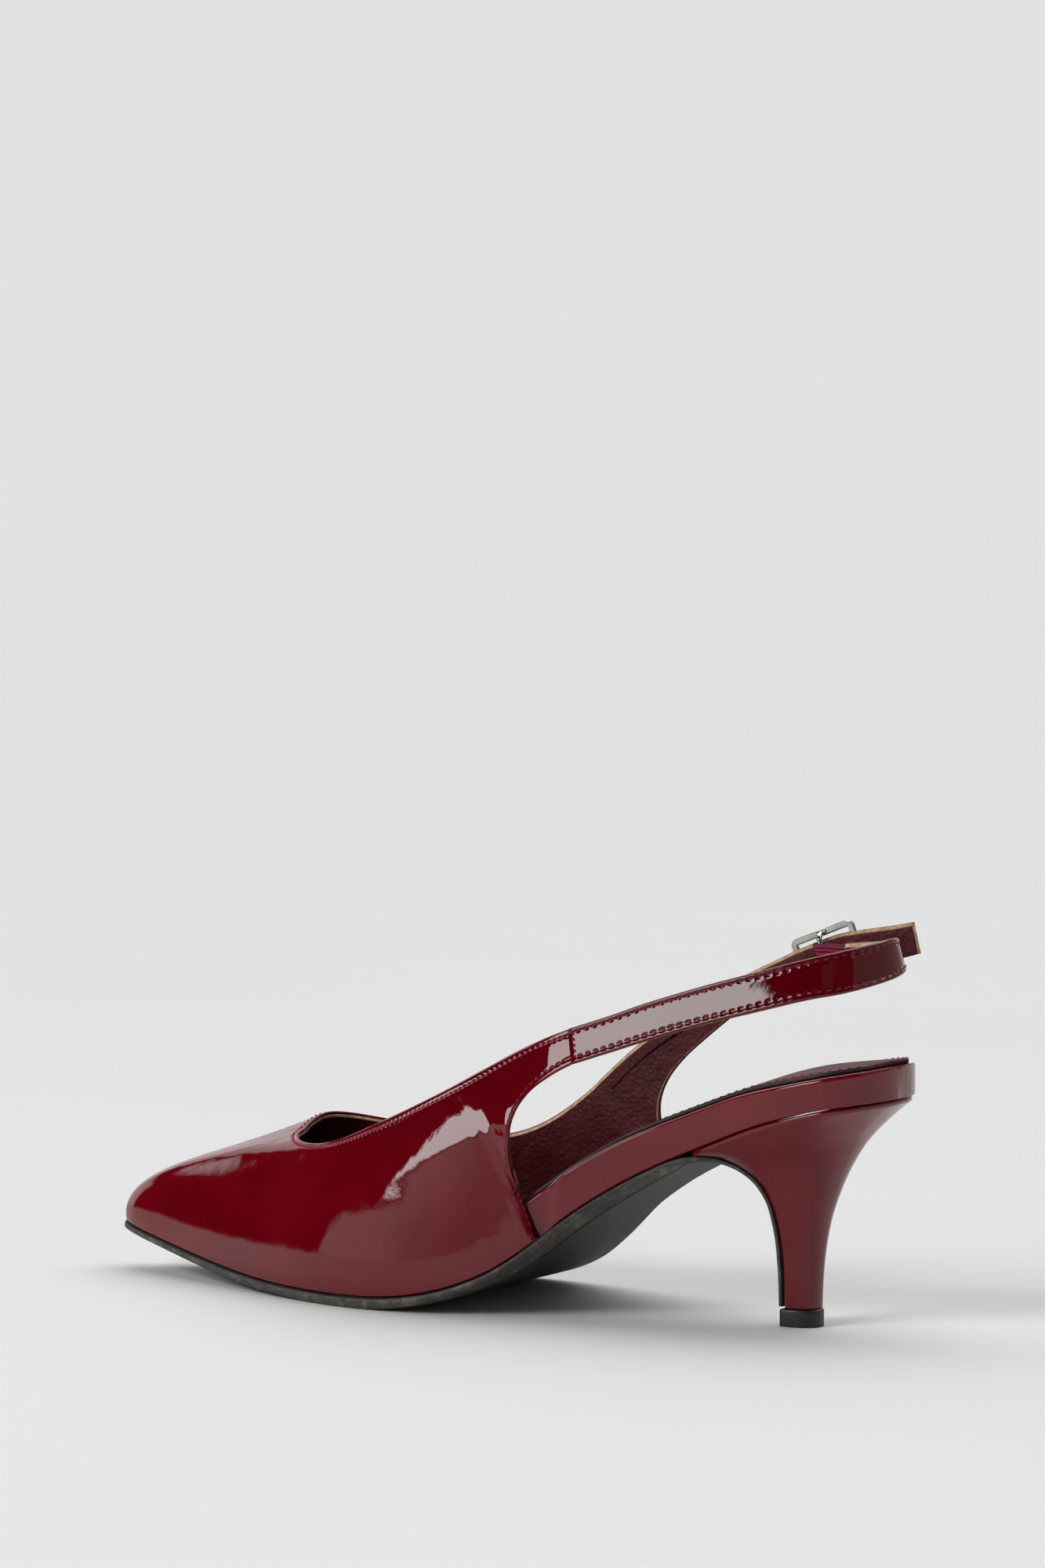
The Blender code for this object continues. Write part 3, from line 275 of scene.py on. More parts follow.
# one row for each rib of the upper, from the toe's centre to the strap seam.  top: the topline
# point (along, out, up); lean and run: how far the rib follows its chord in plan at its foot and
# at its top; rise and drop: shares of the rib's height; bulge: share of HALF_BALL
RIBS_INNER = (
    # along, out, up, lean, rise, run, drop, bulge
    (0.2468, -0.027, 0.693, 0.0, 0.54, 0.44, 0.28, 0.08),
    (0.2476, 0.027, 0.686, 0.0, 0.54, 0.44, 0.28, 0.08),
    (0.2492, 0.08, 0.679, 0.0, 0.53, 0.45, 0.27, 0.078),
    (0.2528, 0.133, 0.671, 0.0, 0.52, 0.46, 0.25, 0.074),
    (0.2588, 0.192, 0.665, 0.0, 0.5, 0.48, 0.22, 0.07), (0.2692, 0.261, 0.659, 0.0, 0.48, 0.51, 0.18, 0.07),
    (0.286, 0.336, 0.657, 0.0, 0.46, 0.54, 0.15, 0.074), (0.31, 0.416, 0.665, 0.0, 0.45, 0.55, 0.14, 0.081),
    (0.336, 0.507, 0.688, 0.0, 0.44, 0.52, 0.14, 0.086),
    (0.366, 0.597, 0.725, 0.02, 0.44, 0.46, 0.14, 0.084),
    (0.398, 0.682, 0.773, 0.06, 0.44, 0.4, 0.16, 0.078), (0.434, 0.747, 0.832, 0.12, 0.42, 0.36, 0.2, 0.07),
    (0.474, 0.792, 0.902, 0.19, 0.39, 0.34, 0.25, 0.062),
    (0.518, 0.819, 0.985, 0.26, 0.36, 0.33, 0.3, 0.052), (0.54, 0.827, 1.03, 0.3, 0.34, 0.33, 0.32, 0.036),
    (0.56, 0.829, 1.072, 0.33, 0.33, 0.33, 0.33, 0.024),
    (0.58, 0.827, 1.114, 0.33, 0.33, 0.33, 0.33, 0.016), (0.6, 0.819, 1.156, 0.33, 0.33, 0.33, 0.33, 0.01),
    (0.622, 0.805, 1.199, 0.33, 0.33, 0.33, 0.33, 0.008),
    (0.6432, 0.789, 1.236, 0.33, 0.33, 0.33, 0.33, 0.006),
    (0.6628, 0.773, 1.267, 0.33, 0.33, 0.33, 0.33, 0.004),
)

RIBS_OUTER = (
    # along, out, up, lean, rise, run, drop, bulge
    (0.2468, 0.027, 0.693, 0.0, 0.54, 0.44, 0.28, 0.08), (0.2468, 0.08, 0.709, 0.0, 0.54, 0.44, 0.28, 0.08),
    (0.2476, 0.139, 0.725, 0.0, 0.53, 0.45, 0.27, 0.078),
    (0.2492, 0.203, 0.74, 0.0, 0.52, 0.46, 0.25, 0.074),
    (0.2532, 0.283, 0.751, 0.0, 0.51, 0.48, 0.21, 0.07), (0.2604, 0.373, 0.75, 0.0, 0.49, 0.51, 0.16, 0.07),
    (0.2728, 0.48, 0.739, 0.0, 0.47, 0.54, 0.12, 0.074),
    (0.292, 0.581, 0.721, 0.0, 0.46, 0.52, 0.12, 0.081),
    (0.318, 0.656, 0.701, 0.0, 0.45, 0.48, 0.13, 0.086),
    (0.35, 0.715, 0.686, 0.02, 0.45, 0.44, 0.15, 0.084),
    (0.386, 0.752, 0.668, 0.05, 0.45, 0.4, 0.17, 0.078), (0.426, 0.773, 0.66, 0.1, 0.43, 0.36, 0.2, 0.084),
    (0.466, 0.781, 0.688, 0.16, 0.4, 0.34, 0.24, 0.092),
    (0.506, 0.787, 0.758, 0.22, 0.37, 0.33, 0.28, 0.094),
    (0.548, 0.789, 0.872, 0.28, 0.35, 0.33, 0.31, 0.084),
    (0.572, 0.792, 0.958, 0.32, 0.34, 0.33, 0.32, 0.06),
    (0.594, 0.789, 1.036, 0.33, 0.33, 0.33, 0.33, 0.036),
    (0.616, 0.784, 1.107, 0.33, 0.33, 0.33, 0.33, 0.02), (0.64, 0.773, 1.174, 0.33, 0.33, 0.33, 0.33, 0.01),
    (0.668, 0.76, 1.242, 0.33, 0.33, 0.33, 0.33, 0.008), (0.7, 0.739, 1.319, 0.33, 0.33, 0.33, 0.33, 0.006),
    (0.734, 0.709, 1.397, 0.33, 0.33, 0.33, 0.33, 0.004),
)

# the cut-out edge behind each quarter, from the row after the waist corner to the strap seam
CUTOUT_INNER = (
    # along, out, up
    (0.602, 0.757, 0.512), (0.5912, 0.8, 0.64), (0.5908, 0.832, 0.76), (0.598, 0.837, 0.877),
    (0.616, 0.824, 0.981), (0.6412, 0.805, 1.058), (0.6684, 0.784, 1.117),
)

CUTOUT_OUTER = (
    # along, out, up
    (0.664, 0.728, 0.648), (0.65, 0.747, 0.76), (0.6468, 0.768, 0.864), (0.6564, 0.779, 0.966),
    (0.678, 0.773, 1.066), (0.7072, 0.757, 1.162), (0.7392, 0.731, 1.258),
)

# the heel strap from the inner seam round the back to the elastic: outer face, both edges
SLING = (
    # top along, top out, top up, bottom along, bottom out, bottom up
    (0.6646, -0.781, 1.272, 0.6702, -0.792, 1.119), (0.712, -0.755, 1.335, 0.7144, -0.776, 1.178),
    (0.7564, -0.728, 1.399, 0.7588, -0.752, 1.237), (0.8212, -0.675, 1.481, 0.8256, -0.712, 1.319),
    (0.874, -0.611, 1.541, 0.8784, -0.659, 1.376), (0.926, -0.509, 1.601, 0.9316, -0.568, 1.433),
    (0.964, -0.371, 1.641, 0.9724, -0.421, 1.467), (0.982, -0.184, 1.665, 0.9905, -0.2, 1.493),
    (0.988, 0.029, 1.677, 0.9965, 0.035, 1.514), (0.981, 0.235, 1.672, 0.989, 0.26, 1.528),
    (0.962, 0.4, 1.652, 0.97, 0.44, 1.522), (0.929, 0.496, 1.636, 0.933, 0.536, 1.492),
    (0.8964, 0.541, 1.622, 0.8992, 0.581, 1.474),
)

# the buckle strap from the outer seam to its free end, before it is woven through the buckle
TAIL = (
    # top along, top out, top up, bottom along, bottom out, bottom up
    (0.7358, 0.707, 1.402, 0.7408, 0.731, 1.263), (0.762, 0.695, 1.456, 0.7652, 0.712, 1.312),
    (0.794, 0.672, 1.514, 0.7972, 0.68, 1.366), (0.824, 0.66, 1.569, 0.8276, 0.662, 1.422),
    (0.847, 0.66, 1.611, 0.8506, 0.66, 1.464), (0.861, 0.66, 1.634, 0.8646, 0.66, 1.487),
    (0.877, 0.66, 1.653, 0.8806, 0.66, 1.505), (0.896, 0.66, 1.669, 0.8996, 0.66, 1.521),
    (0.92, 0.684, 1.685, 0.9242, 0.69, 1.536), (0.94, 0.712, 1.698, 0.9455, 0.724, 1.553),
    (0.9612, 0.747, 1.715, 0.9688, 0.757, 1.579),
)

# the centre bar's bow from a rail to its middle: height a share of the frame's half height, depth
# a share of BAR_INSET
BAR_BOW = (
    # height, depth
    (1.0, 0.0), (0.96, 0.22), (0.91, 0.5), (0.84, 0.78), (0.74, 0.95), (0.62, 1.0),
)

# the prong's way from its loop through the buckle strap to the front end of the frame: along a
# share of half BUCKLE_LENGTH; depth from zero, laid on the frame, to one, level with the bar
PRONG = (
    # along, depth
    (0.22, 0.77), (0.33, 0.475), (0.51, 0.18), (0.71, 0.035), (0.91, 0.0), (1.05, 0.0),
)


def column(rows, index):
    """One column of a table."""
    return np.array([row[index] for row in rows], dtype=float)


def unit(vectors):
    """Vectors of length one."""
    return vectors / np.linalg.norm(vectors, axis=-1, keepdims=True)


def lengths(line):
    """The way run along a line at each of its points."""
    return np.concatenate([[0.0], np.cumsum(np.linalg.norm(np.diff(line, axis=0), axis=1))])


def ease(values, low, high):
    """A smooth step from 0 to 1."""
    t = np.clip((values - low) / (high - low), 0, 1)
    return t * t * (3 - 2 * t)


def smooth(stations, values):
    """A smooth curve through a table's columns, as a function of its stations."""
    at = np.asarray(stations, dtype=float)
    level = np.asarray(values, dtype=float)
    flat = level.ndim == 1
    step = np.diff(at)
    wide = step if flat else step[:, None]
    slope = np.diff(level, axis=0) / wide
    tangent = np.empty_like(level)
    tangent[1:-1] = (wide[1:] * slope[:-1] + wide[:-1] * slope[1:]) / (wide[:-1] + wide[1:])
    tangent[0] = 1.5 * slope[0] - 0.5 * tangent[1]
    tangent[-1] = 1.5 * slope[-1] - 0.5 * tangent[-2]

    def curve(place):
        place = np.clip(np.asarray(place, dtype=float), at[0], at[-1])
        i = np.clip(np.searchsorted(at, place) - 1, 0, len(step) - 1)
        t, h = (place - at[i]) / step[i], step[i]
        if not flat:
            t, h = t[..., None], h[..., None]
        ends = level[i] * (1 + 2 * t) * (1 - t) ** 2 + level[i + 1] * t * t * (3 - 2 * t)
        return ends + tangent[i] * h * t * (1 - t) ** 2 + tangent[i + 1] * h * t * t * (t - 1)

    return curve


def along(share):
    """X of a share of the shoe's length from the toe."""
    return (np.asarray(share, dtype=float) - BALL_SHARE) * SHOE_LENGTH


def rise(share):
    """Z of a share of the seat's height, counted so that the sole meets the floor at the ball."""
    return SOLE_THICKNESS + GAP + (np.asarray(share, dtype=float) - BALL_UP) * SEAT_HEIGHT


def fade(share, end):
    """One up to a little before an end share, then down to zero at it."""
    return min(1.0, max(0.0, (end - share) / FADE))


def outline_knots():
    """The feather line's knots from the outer back round the toe to the inner back."""
    x = along(column(OUTLINE, 0))
    inner, outer = (
        np.stack([x, side * column(OUTLINE, index) * HALF_BALL], axis=1) for side, index in ((-1, 1), (1, 2))
    )
    return np.concatenate([outer[:0:-1], inner])


feather_curve = smooth(along(column(FEATHER, 0)), rise(column(FEATHER, 1)))
board_curve = smooth(along(column(BOARD, 0)), column(BOARD, 1) * BOARD_THICKNESS)
KNOTS = outline_knots()
KNOT_STATIONS = lengths(KNOTS)
TOE_KNOT = len(OUTLINE) - 1
outline_point = smooth(KNOT_STATIONS, KNOTS)
station_of_row = smooth(np.arange(-TOE_KNOT, TOE_KNOT + 1), KNOT_STATIONS)
DENSE = outline_point(np.linspace(KNOT_STATIONS[0], KNOT_STATIONS[-1], 1201))
DENSE_TOE = int(np.argmin(DENSE[:, 0]))


def half_width(x, side, inset=0.0):
    """Distance of the feather line, drawn in by an inset, from the axis on one side of the shoe."""
    way = unit(np.gradient(DENSE, axis=0))
    line = DENSE - inset * np.stack([way[:, 1], -way[:, 0]], axis=1)
    line = line[: DENSE_TOE + 1][::-1] if side > 0 else line[DENSE_TOE:]
    return np.interp(x, line[:, 0], np.abs(line[:, 1]))


def toe_spaced(first, last, count, crowd):
    """Shares between two ends, closer together towards the toe."""
    step = np.linspace(0, 1, count)
    return first + (last - first) * (crowd * step * step + (1 - crowd) * step)


def seat_spaced(first, count, crowd, back):
    """Shares from a first one to the back of the seat less a length, closer at the round back."""
    end = OUTLINE[-1][0] - back / SHOE_LENGTH
    turn = BACK_FROM + (end - BACK_FROM) * np.sin(np.linspace(0, math.pi / 2, 40))
    return np.concatenate([toe_spaced(first, BACK_FROM, count, crowd), turn[1:]])


def flat_row(x, across, inner, outer, height):
    """Level points across the shoe from its inner to its outer side."""
    y = np.where(across < 0, across * inner, across * outer)
    return np.stack([np.full(len(y), x), y, np.full(len(y), 0.0) + height], axis=1)


def edge_curve(table, side, corner):
    """The cut-out edge from the waist corner to the strap seam, as a function of the rib's row."""
    x = float(along(OUTLINE[corner][0]))
    rows = [(x, side * half_width(x, side), feather_curve(x))]
    rows += [(along(share), side * out * HALF_BALL, rise(up)) for share, out, up in table]
    return smooth(np.arange(corner, corner + len(rows)), rows)


def rib_rows():
    """Topline points and rib shapes of both sides on one run of rows, inner side negative."""
    rows = np.array(RIBS_INNER[:0:-1] + RIBS_OUTER)
    rows[: len(RIBS_INNER) - 1, 1] *= -1
    rows[:, 0], rows[:, 2] = along(rows[:, 0]), rise(rows[:, 2])
    rows[:, 1] *= HALF_BALL
    return rows


cutout_inner = edge_curve(CUTOUT_INNER, -1, INNER_CORNER)
cutout_outer = edge_curve(CUTOUT_OUTER, 1, OUTER_CORNER)
FIRST_ROW = -(len(RIBS_INNER) - 1)
LAST_ROW = len(RIBS_OUTER) - 1
rib_curve = smooth(np.arange(FIRST_ROW, LAST_ROW + 1), rib_rows())
# first row, last row and samples of the three lines of stitches on the upper
TOPLINE_ROWS = (FIRST_ROW + 0.15, LAST_ROW - 0.15, 500)
INNER_ROWS = (FIRST_ROW + 0.3, -INNER_CORNER - 0.15, 160)
OUTER_ROWS = (OUTER_CORNER + 0.15, LAST_ROW - 0.3, 160)


def behind_corners(rows):
    """Which rows lie behind the waist corners, where the upper's foot is a cut-out edge."""
    return rows < -INNER_CORNER, rows > OUTER_CORNER


def feet(rows):
    """The ribs' feet: on the feather line, then up the cut-out edges behind the waist corners."""
    place = outline_point(station_of_row(-rows))
    foot = np.stack([place[..., 0], place[..., 1], feather_curve(place[..., 0])], axis=-1)
    for behind, edge in zip(behind_corners(rows), (cutout_inner, cutout_outer)):
        foot = np.where(behind[..., None], edge(np.abs(rows)), foot)
    return foot


def outward(rows):
    """The level directions away from the shoe at the ribs' feet."""
    rows = np.clip(rows, -INNER_CORNER, OUTER_CORNER)
    line = outline_point(station_of_row(-rows + 0.02)) - outline_point(station_of_row(-rows - 0.02))
    line = unit(line)
    return np.stack([line[..., 1], -line[..., 0], np.zeros(rows.shape)], axis=-1)


def rib_surface(rows, shares):
    """Points of the upper's outer face for arrays of ribs and of shares from foot to topline."""
    foot = feet(rows)
    shape = rib_curve(rows)
    top = shape[..., :3]
    lean, climb, run, drop, bulge = (shape[..., k, None] for k in range(3, 8))
    level = (top - foot) * np.array([1.0, 1.0, 0.0])
    height = (top - foot) * UPWARD
    first = foot + lean * level + climb * height + bulge * HALF_BALL * outward(rows)
    second = top - run * level - drop * height
    u = shares[..., None]
    v = 1 - u
    return v**3 * foot + 3 * v * v * u * first + 3 * v * u * u * second + u**3 * top


def upper_frame(rows, shares):
    """Points of the upper's face with their outward normals, ways up the ribs and along the rows."""
    low, high = (np.clip(rows + step, FIRST_ROW, LAST_ROW) for step in (-ROW_STEP, ROW_STEP))
    under, over = (np.clip(shares + step, 0, 1) for step in (-SHARE_STEP, SHARE_STEP))
    way = rib_surface(high, shares) - rib_surface(low, shares)
    climb = rib_surface(rows, over) - rib_surface(rows, under)
    return rib_surface(rows, shares), unit(np.cross(climb, way)), unit(climb), unit(way)


def shares_at(rows, distances, from_top):
    """Shares up each rib at given distances from its top or its foot."""
    fine = np.linspace(0, 1, LINE_SAMPLES)
    ribs = rib_surface(np.repeat(rows[:, None], len(fine), 1), np.repeat(fine[None], len(rows), 0))
    ways = [lengths(rib) for rib in ribs]
    return np.array([np.interp(way[-1] - distances if from_top else distances, way, fine) for way in ways])


def rib_columns(rows, spread):
    """Shares up the ribs: near the foot, spread between, and near the top."""
    low = shares_at(rows, EDGE_STEPS, False)
    high = shares_at(rows, EDGE_STEPS[::-1], True)
    middle = low[:, -1:] + (high[:, :1] - low[:, -1:]) * np.linspace(0, 1, spread + 2)[1:-1]
    return np.concatenate([low, middle, high], axis=1)


def upper_line(rows, distance, from_top):
    """A line on the upper's face at one distance from its top or cut-out edge."""
    shares = shares_at(rows, np.array([distance]), from_top)
    points, normals, _, ways = upper_frame(rows[:, None], shares)
    return points[:, 0], normals[:, 0], ways[:, 0]


def put(name, data):
    """A new object in the scene."""
    body = bpy.data.objects.new(name, data)
    bpy.context.scene.collection.objects.link(body)
    return body


def mesh_object(name, points, faces, materials, slots=None):
    """A smooth-shaded object, with each face's material number if given."""
    mesh = bpy.data.meshes.new(name)
    mesh.from_pydata([tuple(p) for p in points], [], [tuple(f) for f in faces])
    mesh.polygons.foreach_set("use_smooth", [True] * len(mesh.polygons))
    if slots is not None:
        mesh.polygons.foreach_set("material_index", slots)
    for material in materials:
        mesh.materials.append(material)
    mesh.update()
    return put(name, mesh)


def face_outward(body):
    """Turn a mesh's faces outward."""
    work = bmesh.new()
    work.from_mesh(body.data)
    bmesh.ops.recalc_face_normals(work, faces=work.faces)
    work.to_mesh(body.data)
    work.free()
    return body


def grid_faces(rows, cols, round_cols=False, round_rows=False):
    """Quads of a grid of points, row by row, closed round its columns or its rows."""
    faces = []
    for r in range(rows if round_rows else rows - 1):
        low, high = r * cols, (r + 1) % rows * cols
        for c in range(cols if round_cols else cols - 1):
            n = (c + 1) % cols
            faces.append((low + c, low + n, high + n, high + c))
    return faces


def loft_object(name, rings, materials, slot_of=None, cap=0, ladder=True):
    """A closed solid through rings; a ladder's end points pair up across, first with last."""
    count = len(rings[0])
    faces = grid_faces(len(rings), count, True)
    slots = [int(slot_of(r, k)) if slot_of else 0 for r in range(len(rings) - 1) for k in range(count)]
    for start in (0, (len(rings) - 1) * count):
        if ladder:
            end = start + count - 1
            faces += [(start + k, start + k + 1, end - 1 - k, end - k) for k in range(count // 2 - 1)]
        else:
            faces.append(tuple(range(start, start + count)))
    slots += [cap] * (len(faces) - len(slots))
    return face_outward(mesh_object(name, np.concatenate(rings), faces, materials, slots))


def attribute(body, name, values):
    """Store one number per point for the materials to read."""
    layer = body.data.attributes.new(name, "FLOAT", "POINT")
    layer.data.foreach_set("value", np.asarray(values, dtype=np.float32).ravel())


def lean_normals(body, amount):
    """Shade a surface as if it leaned over by some angle towards some way at each point."""
    mesh = body.data
    points, normals = (np.empty(len(mesh.vertices) * 3) for _ in range(2))
    mesh.vertices.foreach_get("co", points)
    mesh.vertex_normals.foreach_get("vector", normals)
    normals = normals.reshape(-1, 3)
    lean, pull = amount(points.reshape(-1, 3))
    pull = pull - normals * np.sum(pull * normals, axis=1, keepdims=True)
    normals = unit(normals + pull * np.tan(lean)[:, None])
    mesh.normals_split_custom_set_from_vertices([tuple(n) for n in normals])


def quarter_lean(points):
    """The quarters roll inward above a line; the throat's lip on the inner side turns out."""
    x, z = points[:, 0], points[:, 2]
    above = ROLL_SLOPE * (z - np.interp(x, *zip(*ROLL_LINE)))
    amount = ease(above, *ROLL_BAND) * ease(x, *ROLL_FRONT) * (1 - ROLL_EASED * ease(x, *ROLL_BACK))
    roll = np.radians(np.interp(x, *zip(*ROLL_LEAN))) * amount
    far = np.sum((points - np.array(LIP_PLACE)) ** 2, axis=1)
    lip = np.exp(-far / LIP_REACH**2) * math.radians(LIP_TURN)
    pull = roll[:, None] * unit(np.array(ROLL_PULL)) + lip[:, None] * np.array([0.0, -1.0, 0.0])
    size = np.linalg.norm(pull, axis=1)
    return size, pull / np.maximum(size, 1e-9)[:, None]


def strap_lean(points):
    """The heel strap leans in over the ankle."""
    return np.radians(np.interp(points[:, 0], *zip(*STRAP_LEAN))), UPWARD


def edge_pad(gap, stitch_in):
    """Height of the padded roll between an edge and its stitches."""
    return PAD_HEIGHT * np.sin(np.pi * np.clip(gap / stitch_in, 0, 1)) ** 0.8


def stitch_turns(line_rows, from_top, pitch, rows):
    """The count of stitches passed at each row of the upper, along one line of stitches."""
    line = np.linspace(*line_rows)
    run = lengths(upper_line(line, STITCH_IN, from_top)[0])
    return np.interp(rows, line, run) * max(2, int(run[-1] / pitch)) / run[-1]


def make_upper_leather(paint):
    """The patent face of vamp and quarters, folded over at the topline, cut-outs and feather."""
    rows = np.linspace(FIRST_ROW, LAST_ROW, (LAST_ROW - FIRST_ROW) * 8 + 1)
    shares = rib_columns(rows, 44)
    face, normal, climb, way = upper_frame(np.repeat(rows[:, None], shares.shape[1], 1), shares)
    cut = np.logical_or(*behind_corners(rows))
    steps = len(EDGE_STEPS)
    pads = edge_pad(EDGE_STEPS, STITCH_IN)
    lift = np.zeros(shares.shape)
    lift[:, -steps:] = pads[::-1]
    lift[np.ix_(cut, range(steps))] = pads
    face = face + normal * lift[..., None]
    full = face
    for edge, direction in ((-1, 1), (0, -1)):
        across = way[:, edge]
        out = climb[:, edge] * direction
        out = unit(out - across * np.sum(out * across, axis=1, keepdims=True))
        inward = -normal[:, edge]
        turns = np.radians(np.linspace(0, 180, 9)[1:])
        rolled = [face[:, edge] + FOLD * (math.sin(a) * out + (1 - math.cos(a)) * inward) for a in turns]
        rolled = np.stack(rolled + [rolled[-1] - out * FOLD_TURNED], axis=1)
        full = np.concatenate([full, rolled] if direction > 0 else [rolled[:, ::-1], full], axis=1)
    body = mesh_object("upper_leather", full.reshape(-1, 3), grid_faces(*full.shape[:2]), [paint])
    folded = rolled.shape[1]
    gap = np.full(full.shape[:2], FAR_FROM_EDGE)
    gap[:, -folded - steps:] = np.append(EDGE_STEPS[::-1], np.zeros(folded))
    gap[np.ix_(cut, range(folded + steps))] = np.append(np.zeros(folded), EDGE_STEPS)
    turn = np.empty(full.shape[:2])
    half = full.shape[1] // 2
    sides = [stitch_turns(line, False, CUTOUT_PITCH, rows) for line in (INNER_ROWS, OUTER_ROWS)]
    turn[:, half:] = stitch_turns(TOPLINE_ROWS, True, TOPLINE_PITCH, rows)[:, None]
    turn[:, :half] = np.where(rows < 0, *sides)[:, None]
    attribute(body, "edge_gap", gap)
    attribute(body, "stitch_turn", turn)
    lean_normals(body, quarter_lean)
    return body


def make_upper_lining(cloth, raw):
    """The lining of vamp and quarters with its pale raw edge inside the folded patent."""
    rows = np.linspace(FIRST_ROW, LAST_ROW, (LAST_ROW - FIRST_ROW) * 5 + 1)
    shares = rib_columns(rows, 26)
    grid_rows = np.repeat(rows[:, None], shares.shape[1], 1)
    face, normal, _, _ = upper_frame(grid_rows, shares)
    throat, sides = (shares_at(rows, EDGE_STEPS[::-1] + slant, True) for slant in (RAW_THROAT, RAW_SIDES))
    weight = ease(np.abs(rows), *RAW_WIDENS)[:, None]
    shares[:, -len(EDGE_STEPS):] = throat * (1 - weight) + sides * weight
    inner, inner_normal, _, _ = upper_frame(grid_rows, shares)
    inner = inner - inner_normal * UPPER_WALL
    sheet = np.concatenate([face - normal * (2 * FOLD + LINING_GAP), inner[:, ::-1]], axis=1)
    last = sheet.shape[1] - 1
    return loft_object(
        "upper_lining", sheet, [cloth, raw],
        lambda r, k: k == last // 2 or (k == last and rows[r] > 0), 1,
    )


def stitch_row(name, line, pitch, thread, length=0.72, radius=0.00024, rise=0.0):
    """One row of thread stitches along a line of points, normals and ways, joined into one object."""
    run = lengths(line[0])
    count = max(2, int(run[-1] / pitch))
    places = (np.arange(count) + 0.5) * run[-1] / count
    middle, up, way = (np.stack([np.interp(places, run, v) for v in part.T], axis=1) for part in line)
    up, way = (unit(part)[:, None, None] for part in (up, way))
    side = np.cross(up, way)
    t = np.linspace(-1, 1, STITCH_RINGS)[None, :, None, None]
    a = (np.arange(STITCH_SIDES) * 2 * math.pi / STITCH_SIDES)[None, None, :, None]
    middle = middle[:, None, None] + up * rise + way * t * length * pitch / 2
    middle = middle + up * radius * (0.35 - 0.9 * t * t)
    wide = radius * np.sqrt(np.maximum(0.05, 1 - t * t))
    points = middle + wide * (np.cos(a) * side + np.sin(a) * up)
    one = grid_faces(STITCH_RINGS, STITCH_SIDES, True)
    step = STITCH_RINGS * STITCH_SIDES
    one += [tuple(range(STITCH_SIDES))[::-1], tuple(range(step - STITCH_SIDES, step))]
    shifts = range(0, count * step, step)
    faces = [tuple(shift + v for v in face) for shift in shifts for face in one]
    return mesh_object(name, points.reshape(-1, 3), faces, [thread])


def make_upper_stitches(thread, highlight_thread):
    """Stitch rows along the topline and both cut-out edges; the topline's thread is a lighter copy of the thread,
    painted highlight.
    """
    made = []
    for label, rows, from_top, pitch, yarn, lift in (
        ("topline", TOPLINE_ROWS, True, TOPLINE_PITCH, highlight_thread, TOPLINE_LIFT),
        ("cutout_inner", INNER_ROWS, False, CUTOUT_PITCH, thread, 0.0),
        ("cutout_outer", OUTER_ROWS, False, CUTOUT_PITCH, thread, 0.0),
    ):
        line = upper_line(np.linspace(*rows), STITCH_IN, from_top)
        made.append(stitch_row("stitches_" + label, line, pitch, yarn, radius=UPPER_THREAD, rise=lift))
    return made


def strap_edges(table):
    """The two edges of a strap's outer face as one curve of its rows."""
    rows = np.array(table)
    rows[:, [0, 3]] = along(rows[:, [0, 3]])
    rows[:, [1, 4]] *= HALF_BALL
    rows[:, [2, 5]] = rise(rows[:, [2, 5]])
    return smooth(np.arange(len(rows)), rows)


def strap_frame(edges, place, last, inside):
    """Top and bottom of a strap's outer face at one place, with its directions."""
    here = edges(place)
    ahead = edges(min(place + 0.02, last))
    behind = edges(max(place - 0.02, 0))
    direction = unit((ahead[:3] + ahead[3:]) - (behind[:3] + behind[3:]))
    across = unit(here[:3] - here[3:])
    return here[:3], here[3:], direction, across, unit(np.cross(direction, across) * inside)


def strap_section(half, thickness, raw):
    """A strap's section: (across, depth, slot) round the folded face, the raw edges and the lining."""
    fold = min(FOLD, thickness * 0.28)
    inset = half - 0.35 * fold
    backs = 2 * fold + STRAP_LAYER_GAP
    turns = np.radians(np.linspace(0, 180, 7)[1:])
    face = np.linspace(fold - half, half - fold, STRAP_COLUMNS)
    section = [(a, -float(edge_pad(half - abs(a), STRAP_STITCH_IN)), 0) for a in face]
    section += [(half - fold + fold * math.sin(a), fold * (1 - math.cos(a)), 0) for a in turns]
    section += [(inset, backs, 1), (inset - raw, thickness, 1)]
    section += [(inset - raw - (2 * inset - raw) * k / 6, thickness, 2) for k in range(1, 6)]
    section += [(-inset, thickness, 2), (-inset, backs, 1)]
    return section + [(fold - half - fold * math.sin(a), fold * (1 - math.cos(a)), 0) for a in turns[::-1]]


